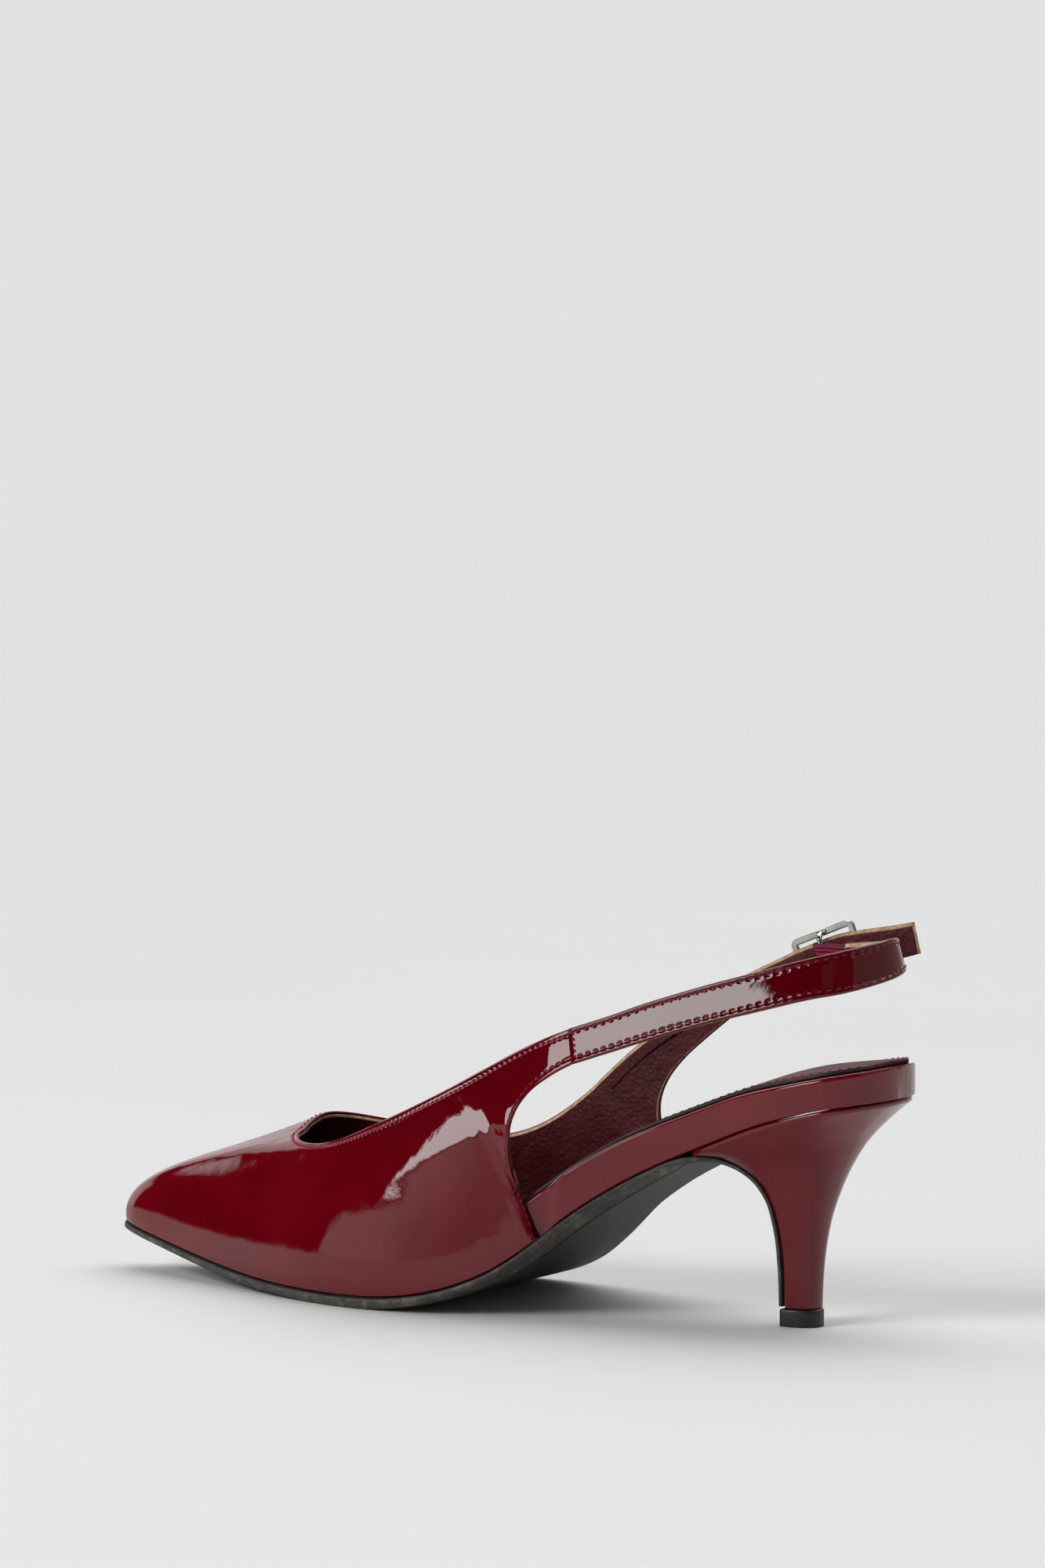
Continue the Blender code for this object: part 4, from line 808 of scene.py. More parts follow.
def make_strap(name, table, thickness, inside, materials, raw, bend=None, end_raw=0.0):
    """A strap with a folded patent face, pale raw edges and a lining, along its table's rows."""
    edges = strap_edges(table)
    last = len(table) - 1

    def shaped(place):
        here = edges(place)
        if bend is not None:
            here[[1, 4]] += bend((here[0] + here[3]) / 2)
        return here

    rings = []
    line = []
    for place in np.linspace(0, last, 12 * last + 1):
        top, bottom, direction, across, inward = strap_frame(shaped, place, last, inside)
        half = np.linalg.norm(top - bottom) / 2
        section = strap_section(half, thickness, raw)
        middle = (top + bottom) / 2 - direction * (0.0 if place else STRAP_LEAD)
        ring = np.array([middle + across * a + inward * d for a, d, _ in section])
        if place == last:
            cut = np.array([max(0.0, d - thickness / 2) / (thickness / 2) for _, d, _ in section])
            ring -= direction * end_raw * cut[:, None]
        rings.append(ring)
        line.append(top)
    count = len(section)
    slots = [slot for _, _, slot in section]
    pairs = [{slots[k], slots[(k + 1) % count]} for k in range(count)]
    kinds = [1 if pair == {1, 2} and k != LINING_STARTS else max(pair) for k, pair in enumerate(pairs)]
    body = loft_object(name, rings, materials, lambda r, k: kinds[k], 1, ladder=False)
    gaps = [half - abs(a) if k < STRAP_COLUMNS else 0.0 for k, (a, _, _) in enumerate(section)]
    attribute(body, "edge_gap", np.tile(gaps, len(rings)))
    attribute(body, "stitch_turn", np.repeat(lengths(line) / STRAP_PITCH, count))
    return body, shaped, last


def strap_stitches(name, shaped, last, inside, thread):
    """Two rows of stitches along a strap, near its edges."""
    made = []
    for label, side in (("_top", 1), ("_bottom", -1)):
        line = []
        for place in np.linspace(0.1, last, 240):
            top, bottom, direction, across, inward = strap_frame(shaped, place, last, inside)
            edge = top if side > 0 else bottom
            line.append((edge - across * side * STRAP_STITCH_IN, -inward, direction))
        line = np.array(line).transpose(1, 0, 2)
        made.append(stitch_row(name + label, line, STRAP_PITCH, thread, 0.62, STRAP_THREAD))
    return made


def cross_stitches(name, points, normal, way, pitch, thread, length, radius):
    """A short straight row of stitches with one normal and one way."""
    line = (points, np.repeat(normal[None], len(points), 0), np.repeat(way[None], len(points), 0))
    return stitch_row(name, line, pitch, thread, length, radius)


def seam_stitches(shaped, last, thread):
    """The column of stitches where the strap is sewn on the quarter."""
    top, bottom, _, across, inward = strap_frame(shaped, SEAM_PLACE, last, -1)
    shares = np.linspace(0.1, 0.9, 20)[:, None]
    points = top * (1 - shares) + bottom * shares
    return cross_stitches("stitches_seam", points, -inward, -across, SEAM_PITCH, thread, 0.75, SEAM_THREAD)


def make_outsole(rubber, trimmed):
    """The thin sole with its rounded edge, and its flap down the front of the heel."""
    shape = smooth(column(SOLE, 0), np.array(SOLE)[:, 1:] * [SOLE_THICKNESS, HALF_BALL, 1.0])
    path = []
    for share in toe_spaced(OUTLINE[0][0] - SOLE_TOE_LEAD / SHOE_LENGTH, SOLE[-1][0], 150, 0.75):
        x = float(along(share))
        welt = SOLE_WELT * fade(share, WELT_ENDS)
        path.append((x, feather_curve(x) - GAP, half_width(x, -1, -welt), half_width(x, 1, -welt), *shape(share)))
    for share, up, wide, thick in FLAP:
        half = wide * HALF_BALL
        path.append((along(share), rise(up), half, half, thick * SOLE_THICKNESS, FLAP_BEVEL, FLAP_UPRIGHT))
    path = np.array(path, dtype=float)
    path[-1, 1] = TOP_PIECE_HEIGHT + 2 * GAP
    way = lengths(path[:, :2])
    run = smooth(way, path)
    flap = np.linspace(way[-len(FLAP) - 1], way[-1], 91)[1:]
    across = np.linspace(-1, 1, 25)
    rings = []
    for place in np.concatenate([way[: -len(FLAP)], flap]):
        x, z, inner, outer, thick, bevel, upright = run(place)
        line = run(min(place + 0.0005, way[-1])) - run(max(place - 0.0005, way[0]))
        line = unit(line[:2])
        bevel = min(bevel, 0.4 * min(inner, outer))
        soft = min(SOLE_SOFT, 0.25 * thick)

        def row(steps, depth, inset):
            points = flat_row(x, steps, inner - inset, outer - inset, z)
            points[:, 0] += line[1] * depth
            points[:, 2] = np.maximum(0.0, points[:, 2] - line[0] * depth)
            return points

        side = [row(np.array([-1.0, 1.0]), depth, inset) for depth, inset in (
            (soft, 0.0), (thick * upright, 0.0),
            (thick * (0.5 + 0.5 * upright), bevel * 0.45), (thick - soft * 0.6, bevel),
        )]
        ring = [row(across, 0.0, soft)] + [ends[1:] for ends in side]
        ring += [row(across, thick, bevel + soft)[::-1]] + [ends[:1] for ends in side[::-1]]
        rings.append(np.roll(np.concatenate(ring), len(side), axis=0))
    left = len(side)
    right = left + len(across)
    return loft_object(
        "sole_sheet", rings, [rubber, trimmed],
        lambda r, k: k < left - 1 or right <= k + 1 < right + left - 1,
    )


def quarter_round(inset, up, radius, first, last, count):
    """Steps of a rounded edge round a centre: (out, up)."""
    turns = np.radians(np.linspace(first, last, count))
    return [(inset + radius * math.cos(a), up + radius * math.sin(a)) for a in turns]


def make_board(paint):
    """The patent leather wrapped round the insole board, full width behind the quarters."""
    rings = []
    for share in seat_spaced(BOARD_TOE, 150, 0.35, BOARD_BACK):
        x = float(along(share))
        widths = []
        for side, corner in ((-1, INNER_CORNER), (1, OUTER_CORNER)):
            open_from = float(along(OUTLINE[corner][0])) + UPPER_WALL
            cover = min(1.0, max(0.0, 1 - (x - open_from) / BOARD_FLARE))
            widths.append(max(SMALL_WIDTH, float(half_width(x, side, cover * (UPPER_WALL + 2 * GAP)))))
        inner, outer = widths
        draft = BOARD_DRAFT * fade(share, BOARD_SHOWS)
        thick = float(board_curve(x))
        edge = min(BOARD_EDGE, 0.3 * thick, 0.3 * min(inner, outer))
        foot = 0.45 * edge
        side = quarter_round(-foot, foot, foot, -90, 0, 6)
        side += [(0.0, foot + (thick - edge - foot) * k / 8) for k in range(1, 8)]
        side += quarter_round(-edge, thick - edge, edge, 0, 90, 8)
        row = [((outer + out) * (1 - draft * z / thick), z) for out, z in side]
        row += [(outer * 0.5, thick), (0.0, thick), (-inner * 0.5, thick)]
        row += [(-(inner + out) * (1 - draft * z / thick), z) for out, z in side[::-1]]
        row += [(-inner * 0.5, 0.0), (0.0, 0.0), (outer * 0.5, 0.0)]
        ring = np.array([(x, y, feather_curve(x) + z) for y, z in row])
        rings.append(np.roll(ring, 2, axis=0)[::-1])
    return loft_object("board_wrap", rings, [paint], ladder=False)


def sock_rows(share, across):
    """Lower and upper height of the sock and its half widths at one share."""
    x = float(along(share))
    low = float(feather_curve(x)) + float(board_curve(x)) + GAP
    margin = SOCK_MARGIN + (UPPER_WALL + 2 * GAP) * fade(share, BOARD_SHOWS)
    inner, outer = (max(SMALL_WIDTH, float(half_width(x, side, margin))) for side in (-1, 1))
    pad = math.exp(-(((share - SOCK_PAD_AT) / SOCK_PAD_REACH) ** 2)) * SOCK_PAD
    return x, low, inner, outer, SOCK_THICKNESS + pad * (1 - across**2)


def make_sock(cloth, binding):
    """The sock lining, crowned over its pad, with a dark bound edge."""
    across = np.linspace(-1, 1, 29)
    rings = []
    for share in seat_spaced(SOCK_TOE, 110, 0.2, SOCK_BACK):
        x, low, inner, outer, height = sock_rows(share, across)
        top = flat_row(x, across, inner, outer, low + height)
        rings.append(np.concatenate([top, flat_row(x, across, inner, outer, low - GAP * 0.9)[::-1]]))
    edge = (len(across) - 1, 2 * len(across) - 1)
    return loft_object("sock_lining", rings, [cloth, binding], lambda r, k: k in edge)


def make_sock_stitches(thread):
    """The rows of stitches along the sock's edges."""
    made = []
    for label, side in (("inner", -1), ("outer", 1)):
        points = []
        for share in seat_spaced(0.55, 60, 0.0, SOCK_BACK + 0.004 * SHOE_LENGTH):
            x, low, inner, outer, height = sock_rows(share, np.array([side * SOCK_STITCH]))
            wide = (inner if side < 0 else outer) * SOCK_STITCH
            points.append((x, side * wide, low + height[0]))
        points = np.array(points)
        ways = unit(np.gradient(points, axis=0))
        normals = unit(np.cross(np.array([0.0, 1.0, 0.0]), ways))
        line = (points, normals * math.copysign(1.0, normals[0, 2]), ways)
        made.append(stitch_row("stitches_sock_" + label, line, SOCK_PITCH, thread, 0.6, FINE_THREAD))
    return made


def heel_ring(level):
    """One heel level, from its flat front to its round back along each side."""
    front_x, front_z, back_x, back_z, front_wide, side_wide, square = level
    share = np.sin(HEEL_ANGLES) ** (2 / square)
    side = np.cos(HEEL_ANGLES) ** (2 / square) * side_wide
    side = side * (1 - (1 - front_wide / side_wide) * (1 - share) ** 2)
    half = np.stack([front_x + (back_x - front_x) * share, side, front_z + (back_z - front_z) * share], axis=1)
    return np.concatenate([half * [1, -1, 1], half[::-1]])


def make_heel(paint):
    """The leather-covered heel: rings at the table's levels, then two that follow the seat."""
    table = np.array(HEEL)
    table[:, [0, 2]] = along(table[:, [0, 2]])
    table[:, [1, 3]] = rise(table[:, [1, 3]])
    table[0, [1, 3]] = TOP_PIECE_HEIGHT + GAP
    table[:, [4, 5]] *= HALF_BALL
    rings = [heel_ring(level) for level in table]
    front = float(along(HEEL_FRONT))
    back = float(along(OUTLINE[-1][0])) - HEEL_INSET
    x = front + (back - front) * np.sin(HEEL_ANGLES) ** 0.75
    for depth in (HEEL_LIP, 0.0):
        z = feather_curve(x) - GAP - depth
        inner, outer = (np.stack([x, side * half_width(x, side, HEEL_INSET), z], axis=1) for side in (-1, 1))
        rings.append(np.concatenate([inner, outer[::-1]]))
    climb = smooth(np.arange(len(rings) - 1), np.array(rings[:-1]).reshape(len(rings) - 1, -1))
    places = np.linspace(0, len(rings) - 2, 110)
    return loft_object("heel_cover", [climb(place).reshape(-1, 3) for place in places] + rings[-1:], [paint])


def make_top_piece(rubber):
    """The small rubber tread under the heel, with softened edges."""
    front, _, back, _, front_wide, side_wide, square = HEEL[0]
    chamfer = TOP_PIECE_CHAMFER
    turns = np.radians(np.linspace(20, 90, 5))
    levels = [(0.0, 0.0)] + [(chamfer * (1 - math.cos(a)), chamfer * math.sin(a)) for a in turns]
    levels += [(chamfer + (TOP_PIECE_HEIGHT - 2 * chamfer) * k / 5, chamfer) for k in range(1, 6)]
    rings = [
        heel_ring((
            along(front) - TOP_PIECE_LEAD - grow, z, along(back) + grow, z,
            front_wide * HALF_BALL + grow, side_wide * HALF_BALL + grow, square,
        ))
        for z, grow in levels + [(TOP_PIECE_HEIGHT, chamfer * 0.6)]
    ]
    return loft_object("heel_tread", rings, [rubber])


BUCKLE_SEAT = strap_edges(TAIL)(BUCKLE_ROW)
BUCKLE_CENTRE = (BUCKLE_SEAT[:3] + BUCKLE_SEAT[3:]) / 2
BUCKLE_CENTRE[1] = BUCKLE_SEAT[1] + STRAP_PLAY + BUCKLE_WIRE
BUCKLE_CENTRE[2] -= BUCKLE_LOWERED


def weave(x):
    """How far the buckle strap bows out over the buckle's centre bar at one place."""
    bar_out = BAR_WIRE + ELASTIC_SLACK + ELASTIC_THICKNESS - BAR_INSET
    crest = BUCKLE_WIRE + bar_out + 2 * STRAP_PLAY + TAIL_THICKNESS
    reach = min(1.0, abs(x - BUCKLE_CENTRE[0]) / (BUCKLE_LENGTH / 2 - BUCKLE_WIRE))
    return crest * math.cos(reach * math.pi / 2) ** 2


def buckle_place(length, height, depth):
    """A point in the buckle's own frame: along the strap, up the frame, and towards the foot."""
    forward, upward = math.cos(BUCKLE_TILT), math.sin(BUCKLE_TILT)
    place = (length * forward - height * upward, -depth, length * upward + height * forward)
    return BUCKLE_CENTRE + np.array(place)


def wire(name, path, radius, sides, metal):
    """A round wire along a path of points."""
    path = np.array(path)
    rings = []
    for k, middle in enumerate(path):
        direction = unit(path[min(k + 1, len(path) - 1)] - path[max(k - 1, 0)])
        first = np.array([0.0, 1.0, 0.0]) - direction * direction[1]
        if np.linalg.norm(first) < 0.2:
            first = np.array([1.0, 0.0, 0.0]) - direction * direction[0]
        first = unit(first)
        second = np.cross(direction, first)
        turns = np.arange(sides) * 2 * math.pi / sides
        rings.append(np.array([middle + radius * (math.cos(a) * first + math.sin(a) * second) for a in turns]))
    return loft_object(name, rings, [metal], ladder=False)


def make_buckle(metal):
    """The flat-sided ring, its bowed bar with the collars where it grips the rails."""
    half_l = BUCKLE_LENGTH / 2 - FRAME_HALF_WIDE
    half_h = BUCKLE_HEIGHT / 2 - FRAME_HALF_WIDE
    turns = np.linspace(0, 2 * math.pi, 28, endpoint=False)
    wide, deep = (
        size * np.copysign(np.abs(wave) ** FRAME_SQUARE, wave)
        for size, wave in ((FRAME_HALF_WIDE, np.cos(turns)), (FRAME_HALF_DEEP, np.sin(turns)))
    )
    rings = []
    for cx, cz, start in ((1, 1, 0), (-1, 1, 90), (-1, -1, 180), (1, -1, 270)):
        for a in np.radians(start + 10 * np.arange(10)):
            x = cx * (half_l - FRAME_CORNER) + FRAME_CORNER * math.cos(a)
            z = cz * (half_h - FRAME_CORNER) + FRAME_CORNER * math.sin(a)
            rings.append([buckle_place(x + w * math.cos(a), z + w * math.sin(a), d) for w, d in zip(wide, deep)])
    faces = grid_faces(len(rings), len(turns), True, True)
    made = [face_outward(mesh_object("buckle_ring", np.concatenate(rings), faces, [metal]))]
    half = smooth(np.arange(len(BAR_BOW) + 1), BAR_BOW + ((0.0, 1.0),))
    curve = [half(k) for k in np.linspace(0, len(BAR_BOW), 24)]
    bow = [(h * half_h, d * BAR_INSET) for h, d in curve] + [(-h * half_h, d * BAR_INSET) for h, d in curve[-2::-1]]
    made.append(wire("buckle_bar", [buckle_place(0.0, h, d) for h, d in bow], BAR_WIRE, 20, metal))
    for label, sign in (("top", 1), ("bottom", -1)):
        collar = [buckle_place(length, sign * half_h, 0.0) for length in np.linspace(-COLLAR_HALF, COLLAR_HALF, 9)]
        made.append(wire("buckle_collar_" + label, collar, FRAME_HALF_WIDE * 1.08, 20, metal))
    return made


def make_prong(metal):
    """The prong from its loop round the bar to the front end of the frame."""
    reach = BAR_WIRE + GAP + PRONG_WIRE
    angles = [math.radians(turn) for turn in range(20, 181, 20)]
    points = [(reach * math.cos(a), 0.0, BAR_INSET + reach * math.sin(a)) for a in angles]
    laid = -(BUCKLE_WIRE + GAP + PRONG_WIRE)
    points += [(-share * BUCKLE_LENGTH / 2, 0.0, laid + depth * (BAR_INSET - laid)) for share, depth in PRONG]
    run = smooth(np.arange(len(points)), points)
    places = [buckle_place(*run(k)) for k in np.linspace(0, len(points) - 1, 60)]
    return wire("prong_wire", places, PRONG_WIRE, 16, metal)


def make_elastic(webbing, thread):
    """The ribbed elastic loop between the heel strap's end and the buckle's bar."""
    end = strap_edges(SLING)(len(SLING) - 1)
    strap_up = unit(end[:3] - end[3:])
    centre = buckle_place(0.0, 0.0, BAR_INSET)
    bar_up = buckle_place(0.0, 1.0, BAR_INSET) - centre
    way = (end[:3] + end[3:]) / 2 + np.array([0.0, -STRAP_THICKNESS / 2, 0.0]) - centre
    reach = np.linalg.norm(way) - ELASTIC_INSET + ELASTIC_SEWN
    way = unit(way)
    inward = unit(np.cross(way, bar_up))
    eye = BAR_WIRE + ELASTIC_SLACK + ELASTIC_THICKNESS / 2
    legs = np.array([(reach * (1 - k / 10), ELASTIC_THICKNESS * 0.5 * (1 + (k / 10) ** 2)) for k in range(9)])
    loop = np.array([(eye * math.cos(a), eye * math.sin(a)) for a in np.radians(np.linspace(50, 310, 25))])
    loop = np.concatenate([legs, loop, legs[::-1] * [1, -1]])
    rows = len(loop)
    at = np.arange(rows)
    tangent = unit(loop[np.minimum(at + 1, rows - 1)] - loop[np.maximum(at - 1, 0)])
    share = np.clip(loop[:, :1] / reach, 0.0, 1.0)
    up = bar_up * (1 - share) + strap_up * share
    heights = np.linspace(-1, 1, 33)
    thick = ELASTIC_THICKNESS * 0.45 * (1 + 0.35 * np.cos(heights * math.pi * ELASTIC_RIBS))
    layers = []
    for side in (1, -1):
        off = np.stack([tangent[:, 1], -tangent[:, 0]], axis=1)[:, None] * (side * thick)[:, None]
        spot = loop[:, None] + off
        rib = up[:, None] * (heights * ELASTIC_WIDTH / 2)[:, None]
        layers.append(centre + spot[..., :1] * way + spot[..., 1:] * inward + rib)
    cols = len(heights)
    shift = rows * cols
    faces = grid_faces(rows, cols)
    faces += [tuple(v + shift for v in face[::-1]) for face in faces]
    rim = [(r * cols + c, (r + 1) * cols + c) for r in range(rows - 1) for c in (0, cols - 1)]
    rim += [(r * cols + c, r * cols + c + 1) for c in range(cols - 1) for r in (0, rows - 1)]
    faces += [(a, b, b + shift, a + shift) for a, b in rim]
    tab = face_outward(mesh_object("elastic_loop", np.array(layers).reshape(-1, 3), faces, [webbing]))
    # rib: one on the crests, zero between them; the webbing reads it to paint shade between the ribs and highlight
    # on them
    attribute(tab, "rib", np.tile(0.5 + 0.5 * np.cos(heights * math.pi * ELASTIC_RIBS), 2 * rows))
    seam = np.linspace(-0.9, 0.9, 12)[:, None] * strap_up * ELASTIC_WIDTH / 2
    seam = seam + centre + way * (reach - ELASTIC_SEAM_IN) - inward * ELASTIC_THICKNESS
    return tab, cross_stitches("stitches_elastic", seam, -inward, strap_up, ELASTIC_PITCH, thread, 0.7, FINE_THREAD)


class Nodes:
    """Short ways to add and link the nodes of a tree."""

    def __init__(self, tree):
        self.tree = tree

    def feed(self, socket, value):
        """Link an output to a socket, or set its plain value."""
        if isinstance(value, bpy.types.NodeSocket):
            self.tree.links.new(value, socket)
        else:
            socket.default_value = value

    def add(self, kind, **inputs):
        """One node with values or links for its sockets."""
        node = self.tree.nodes.new("ShaderNode" + kind)
        for key, value in inputs.items():
            self.feed(node.inputs[key.replace("_", " ")], value)
        return node

    def math(self, kind, *values):
        """A math node over outputs or numbers; returns its output."""
        node = self.add("Math")
        node.operation = kind
        for socket, value in zip(node.inputs, values):
            self.feed(socket, value)
        return node.outputs[0]


class Shader(Nodes):
    """A new material over the object's own coordinates; each method returns an output."""

    def __init__(self, name):
        self.material = bpy.data.materials.new(name)
        self.material.use_nodes = True
        super().__init__(self.material.node_tree)
        self.main = self.tree.nodes["Principled BSDF"]

    def texture(self, kind, output, **inputs):
        """A texture, scale in cells per metre."""
        place = self.add("TexCoord").outputs["Object"]
        return self.add("Tex" + kind, Vector=place, **inputs).outputs[output]

    def noise(self, scale, detail, roughness, distortion=0.0):
        """Noise from 0 to 1."""
        values = {"Scale": scale, "Detail": detail, "Roughness": roughness, "Distortion": distortion}
        return self.texture("Noise", "Fac", **values)

    def bump(self, height, depth, under=None):
        """Relief in metres, laid over another relief."""
        node = self.add("Bump", Strength=1.0, Distance=depth, Height=height)
        if under is not None:
            self.feed(node.inputs["Normal"], under)
        return node.outputs["Normal"]

    def stored(self, name):
        """A number stored on the points."""
        node = self.add("Attribute")
        node.attribute_name = name
        return node.outputs["Fac"]

    def stitched(self, stitch_in, under):
        """A groove along the stitches that each one draws in."""
        offset = self.math("SUBTRACT", self.stored("edge_gap"), stitch_in)
        offset = self.math("DIVIDE", offset, GROOVE_WIDTH)
        bell = self.math("EXPONENT", self.math("MULTIPLY", self.math("MULTIPLY", offset, offset), -1.0))
        wave = self.math("COSINE", self.math("MULTIPLY", self.stored("stitch_turn"), 2 * math.pi))
        groove = self.math("MULTIPLY", bell, self.math("MULTIPLY_ADD", wave, 0.5, 0.7))
        return self.bump(self.math("MULTIPLY", groove, -GROOVE_DEPTH), 1.0, under)

    def paint(self, tint, stops, rough, reliefs=(), stitch_in=None, **sockets):
        """Colour stops over a tint, roughness (two: its range over the tint), reliefs, other values."""
        node = self.add("ValToRGB", Fac=tint)
        elements = node.color_ramp.elements
        while len(elements) < len(stops):
            elements.new(0.5)
        for element, (place, colour) in zip(elements, stops):
            element.position = place
            element.color = (*colour, 1.0)
        if isinstance(rough, tuple):
            rough = self.add("MapRange", Value=tint, To_Min=rough[0], To_Max=rough[1]).outputs["Result"]
        sockets.update(Base_Color=node.outputs["Color"], Roughness=rough)
        under = None
        for height, depth in reliefs:
            under = self.bump(height, depth, under)
        if stitch_in is not None:
            under = self.stitched(stitch_in, under)
        if under is not None:
            sockets.update(Normal=under, Coat_Normal=under)
        for key, value in sockets.items():
            self.feed(self.main.inputs[key.replace("_", " ")], value)
        return self.material


def finish(name, noise, stops, rough, relief=None, grit=False, **sockets):
    """A finish whose colour, roughness and relief follow one noise, with fine grit over it if asked."""
    shade = Shader(name)
    tint = shade.noise(*noise)
    reliefs = [(tint, relief)] if relief else []
    if grit:
        reliefs.append((shade.noise(*GRIT_NOISE), GRIT_DEPTH))
    return shade.paint(tint, stops, rough, reliefs, **sockets)


def patent_leather(name="patent", wobble=1.0, stitch_in=None, depth=1.0):
    """Burgundy leather under a clear coat with a faint ripple, drawn in at the stitches; a depth below one makes a
    darker copy of it, painted shade.
    """
    shade = Shader(name)
    dark, light = ([v * depth for v in colour] for colour in (PATENT_DARK, PATENT_LIGHT))
    return shade.paint(
        shade.noise(60.0, 4.0, 0.55), [(0.30, dark), (0.70, light)], 0.5,
        [(shade.noise(70.0, 2.0, 0.5), 0.00022 * wobble), (shade.noise(420.0, 3.0, 0.55), 0.000022 * wobble)],
        stitch_in, Specular_IOR_Level=0.0, Coat_Weight=1.0, Coat_Roughness=0.02, Coat_IOR=COAT_IOR,
    )


def lining_leather():
    """Matte grained lining, a little worn and uneven in colour."""
    shade = Shader("lining_leather")
    grain = shade.texture("Voronoi", "Distance", Scale=900.0)
    return shade.paint(
        shade.noise(140.0, 6.0, 0.65),
        [(0.28, (0.052, 0.004, 0.0065)), (0.52, (0.080, 0.0068, 0.0112)), (0.78, (0.118, 0.015, 0.020))],
        (0.50, 0.68), [(grain, 0.00026), (shade.noise(260.0, 5.0, 0.6, 0.6), 0.00035)],
        Specular_IOR_Level=0.35,
    )


def sewing_thread(name="thread", colour=(0.20, 0.010, 0.032)):
    """Twisted sewing thread."""
    stops = [(0.3, [0.55 * v for v in colour]), (0.7, [min(1.0, 1.5 * v) for v in colour])]
    return finish(name, (2600.0, 2.0, 0.5), stops, 0.75, 0.00008, Specular_IOR_Level=0.25)


def elastic_webbing():
    """Crimson elastic: fine threads across, painted shade between the ribs and painted highlight on them."""
    shade = Shader("elastic_webbing")
    threads = shade.noise(1800.0, 3.0, 0.6)
    # the rib value paints shade between the ribs and highlight on their crests; the thread noise is the webbing's
    # own texture
    tint = shade.math("MULTIPLY_ADD", threads, 0.5, shade.math("MULTIPLY", shade.stored("rib"), 0.6))
    stops = [(0.25, (0.035, 0.001, 0.006)), (0.85, (0.36, 0.010, 0.065))]
    return shade.paint(tint, stops, 0.65, [(threads, 0.00006)], Specular_IOR_Level=0.3)


def make_floor():
    """A wide floor of matte pale paper that meets the soft surround at the horizon."""
    mesh = bpy.data.meshes.new("floor")
    corners = [(x * FLOOR_SIZE, y * FLOOR_SIZE, 0) for x, y in ((-1, -1), (1, -1), (1, 1), (-1, 1))]
    mesh.from_pydata(corners, [], [(0, 1, 2, 3)])
    stops = [(0.3, (FLOOR_GREY - 0.006,) * 3), (0.7, (FLOOR_GREY + 0.006,) * 3)]
    mesh.materials.append(finish("pale_paper", (3.0, 2.0, 0.5), stops, 1.0, Specular_IOR_Level=0.0))
    floor = put("floor", mesh)


def make_camera():
    """The photograph's camera: turned from side-on, a little above the floor, looking slightly down."""
    data = bpy.data.cameras.new("camera")
    data.sensor_width = CAMERA_SENSOR
    data.lens = CAMERA_LENS
    data.clip_end = 100.0
    camera = put("camera", data)
    camera.location = CAMERA_PLACE
    camera.rotation_euler = (math.radians(90) - CAMERA_DOWN, 0.0, CAMERA_TURN)
    bpy.context.scene.camera = camera


def make_surround():
    """The studio's light by direction: the patches over an even pale surround."""
    world = bpy.data.worlds.new("surround")
    world.use_nodes = True
    nodes = Nodes(world.node_tree)
    turn = nodes.add("Mapping", Vector=nodes.add("TexCoord").outputs["Generated"])
    turn.vector_type = "NORMAL"
    turn.inputs["Rotation"].default_value = (0.0, 0.0, -CAMERA_TURN)
    parts = nodes.add("SeparateXYZ", Vector=turn.outputs["Vector"]).outputs
    around = nodes.math("DEGREES", nodes.math("ARCTAN2", parts["X"], parts["Y"]))
    up = nodes.math("DEGREES", nodes.math("ARCSINE", parts["Z"]))

    def step(value, edge, soft):
        node = nodes.add("MapRange", Value=value, From_Min=edge - soft, From_Max=edge + soft)
        node.interpolation_type = "SMOOTHSTEP"
        return node.outputs["Result"]

    level = SURROUND
    for radiance, left, right, low, high, soft, soft_left, soft_up in PATCHES:
        mask = step(around, left, soft_left)
        mask = nodes.math("MULTIPLY", mask, nodes.math("SUBTRACT", 1.0, step(around, right, soft)))
        mask = nodes.math("MULTIPLY", mask, step(up, low, soft_up))
        mask = nodes.math("MULTIPLY", mask, nodes.math("SUBTRACT", 1.0, step(up, high, soft_up)))
        level = nodes.add("Mix", A=level, B=radiance, Factor=mask).outputs["Result"]
    background = nodes.tree.nodes["Background"]
    background.inputs["Color"].default_value = (1.0, 1.0, 1.0, 1.0)
    nodes.feed(background.inputs["Strength"], level)
    bpy.context.scene.world = world


def make_key():
    """A small soft key from the left that firms up the shadow on the right."""
    data = bpy.data.lights.new("key", "AREA")
    data.shape = "RECTANGLE"
    data.size, data.size_y = KEY_SIZE
    data.energy = KEY_POWER
    light = put("key", data)
    turn = CAMERA_TURN - math.radians(KEY_AROUND)
    up = math.radians(KEY_UP)
    way = Vector((-math.sin(turn) * math.cos(up), math.cos(turn) * math.cos(up), math.sin(up)))
    light.location = Vector(LIGHT_AIM) + way * KEY_DISTANCE
    light.rotation_euler = way.to_track_quat("Z", "Y").to_euler()
    light.visible_glossy = False


def dress(pieces, node):
    """Pieces that stand for a node: hide it and ride the shoe."""
    if not isinstance(pieces, (list, tuple)):
        pieces = [pieces]
    for piece in pieces:
        if node is not None:
            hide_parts(node)
        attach(piece, "root")


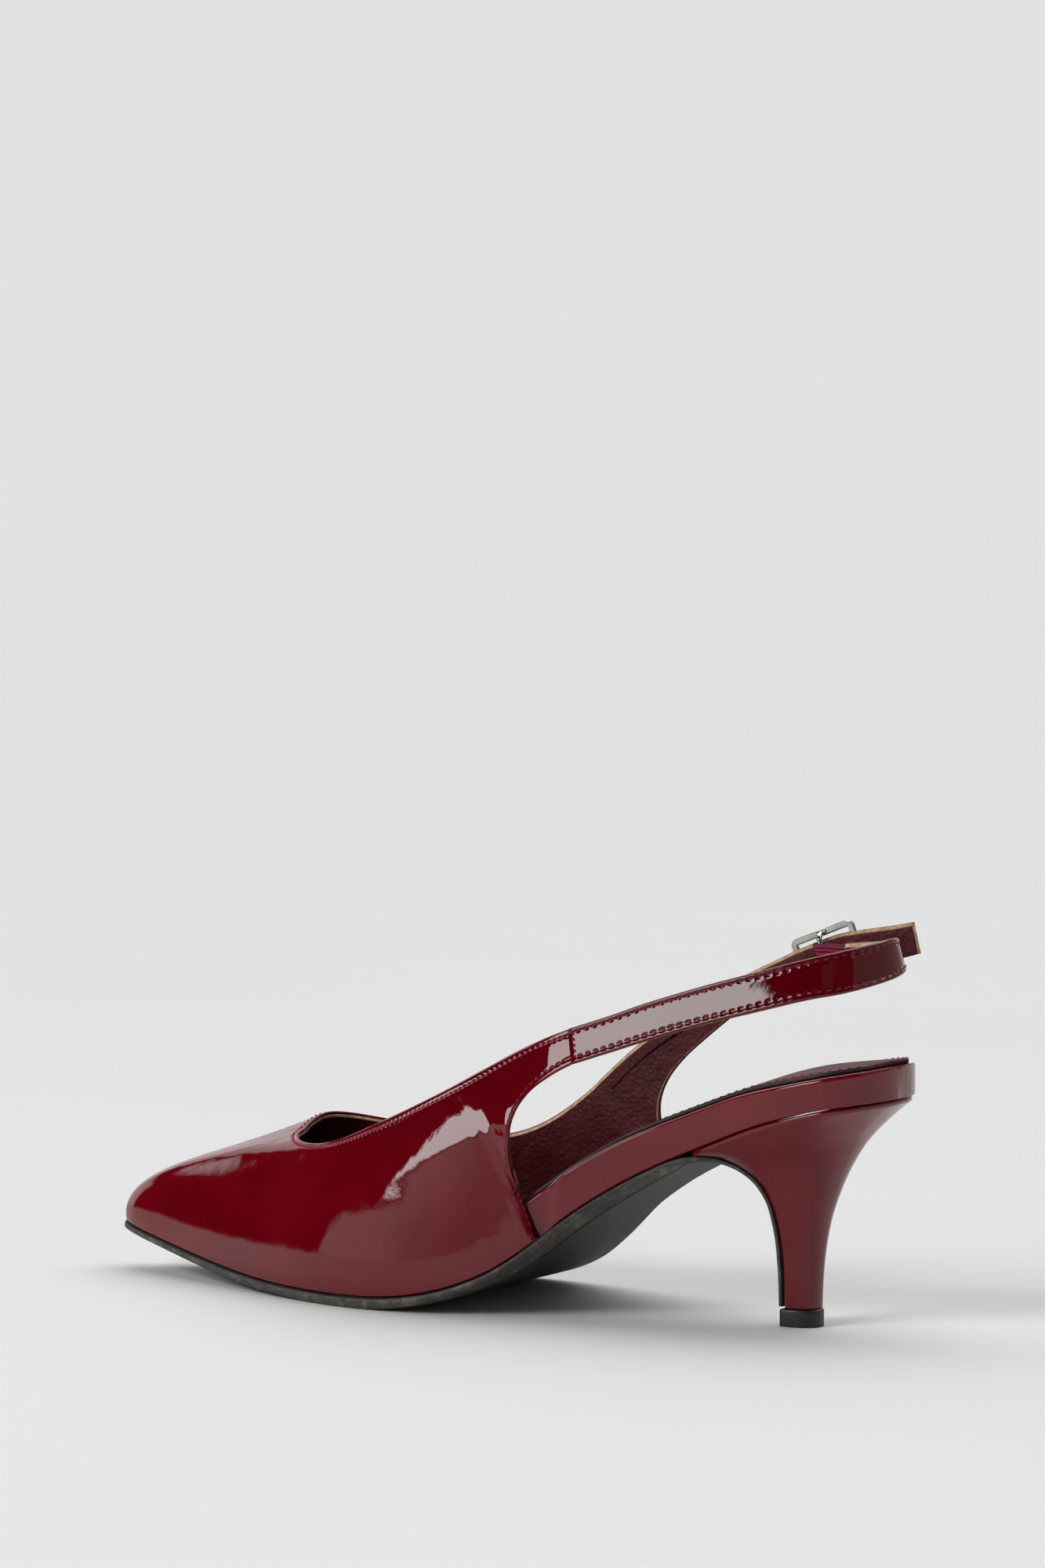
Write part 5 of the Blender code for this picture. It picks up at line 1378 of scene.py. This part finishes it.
PATENT = patent_leather()
UPPER_PATENT = patent_leather("patent_upper", 1.0, STITCH_IN)
# the straps' patent is the same leather at 0.68 of its colour: painted shade
SHADED_STRAP_PATENT = patent_leather("patent_strap_painted_shade", 0.8, STRAP_STITCH_IN, 0.68)
LINING = lining_leather()
RAW = finish(
    "raw_edge", (700.0, 5.0, 0.7),
    [(0.30, (0.22, 0.10, 0.05)), (0.55, (0.52, 0.33, 0.17)), (0.80, (0.72, 0.52, 0.31))], 0.85, 0.00015,
)
THREAD = sewing_thread()
# the same thread in a lighter pink for the topline stitches: painted highlight
PAINTED_HIGHLIGHT_THREAD = sewing_thread("thread_topline_painted_highlight", (0.40, 0.055, 0.090))
PALE_THREAD = sewing_thread("pale_thread", (0.55, 0.20, 0.24))
BINDING = finish(
    "sock_edge", (500.0, 4.0, 0.6), [(0.3, (0.006, 0.003, 0.003)), (0.75, (0.03, 0.008, 0.010))],
    0.5, 0.0001,
)
METAL = finish(
    "plated_metal", (380.0, 5.0, 0.6), [(0.3, (0.34, 0.325, 0.30)), (0.7, (0.55, 0.53, 0.50))],
    (0.06, 0.15), 0.000006, Metallic=1.0,
)
SOLE_RUBBER = finish(
    "sole_rubber", (55.0, 6.0, 0.65, 0.4),
    [(0.30, (0.009, 0.009, 0.0087)), (0.56, (0.019, 0.0187, 0.0178)), (0.76, (0.055, 0.0535, 0.049))],
    (0.46, 0.72), 0.0003, True, Specular_IOR_Level=0.35,
)
SOLE_EDGE = finish(
    "sole_edge", (160.0, 7.0, 0.75, 1.2),
    [(0.34, (0.018, 0.017, 0.015)), (0.52, (0.060, 0.055, 0.046)), (0.70, (0.19, 0.175, 0.145))],
    (0.40, 0.66), 0.0003, True,
)
TREAD_RUBBER = finish(
    "tread_rubber", (900.0, 4.0, 0.6), [(0.3, (0.008,) * 3), (0.75, (0.024, 0.024, 0.025))],
    0.34, 0.00005,
)

dress(make_upper_leather(UPPER_PATENT), "upper")
dress(make_upper_lining(LINING, RAW), "upper")
dress(make_upper_stitches(THREAD, PAINTED_HIGHLIGHT_THREAD), None)
dress(make_outsole(SOLE_RUBBER, SOLE_EDGE), "outsole")
dress(make_board(PATENT), "insole_board")
sock = make_sock(LINING, BINDING)
dress(sock, "sock")
dress(make_sock_stitches(THREAD), None)
dress(make_heel(PATENT), "heel")
dress(make_top_piece(TREAD_RUBBER), "top_piece")
strap_layers = [SHADED_STRAP_PATENT, RAW, LINING]
sling, sling_shape, sling_last = make_strap("sling_leather", SLING, STRAP_THICKNESS, -1, strap_layers, RAW_SLING)
lean_normals(sling, strap_lean)
dress(sling, "sling_strap")
dress(strap_stitches("stitches_sling", sling_shape, sling_last, -1, THREAD), None)
tail, tail_shape, tail_last = make_strap(
    "tail_leather", TAIL, TAIL_THICKNESS, 1, strap_layers, RAW_TAIL, weave, RAW_END
)
dress(seam_stitches(sling_shape, sling_last, THREAD), None)
dress(tail, "tail_strap")
dress(strap_stitches("stitches_tail", tail_shape, tail_last, 1, THREAD), None)
dress(make_buckle(METAL), "buckle_frame")
dress(make_prong(METAL), "buckle_prong")
elastic, elastic_sewn = make_elastic(elastic_webbing(), PALE_THREAD)
dress(elastic, "elastic_tab")
dress(elastic_sewn, None)

make_camera()
make_floor()
make_surround()
make_key()

bpy.context.scene.view_settings.view_transform = "Standard"
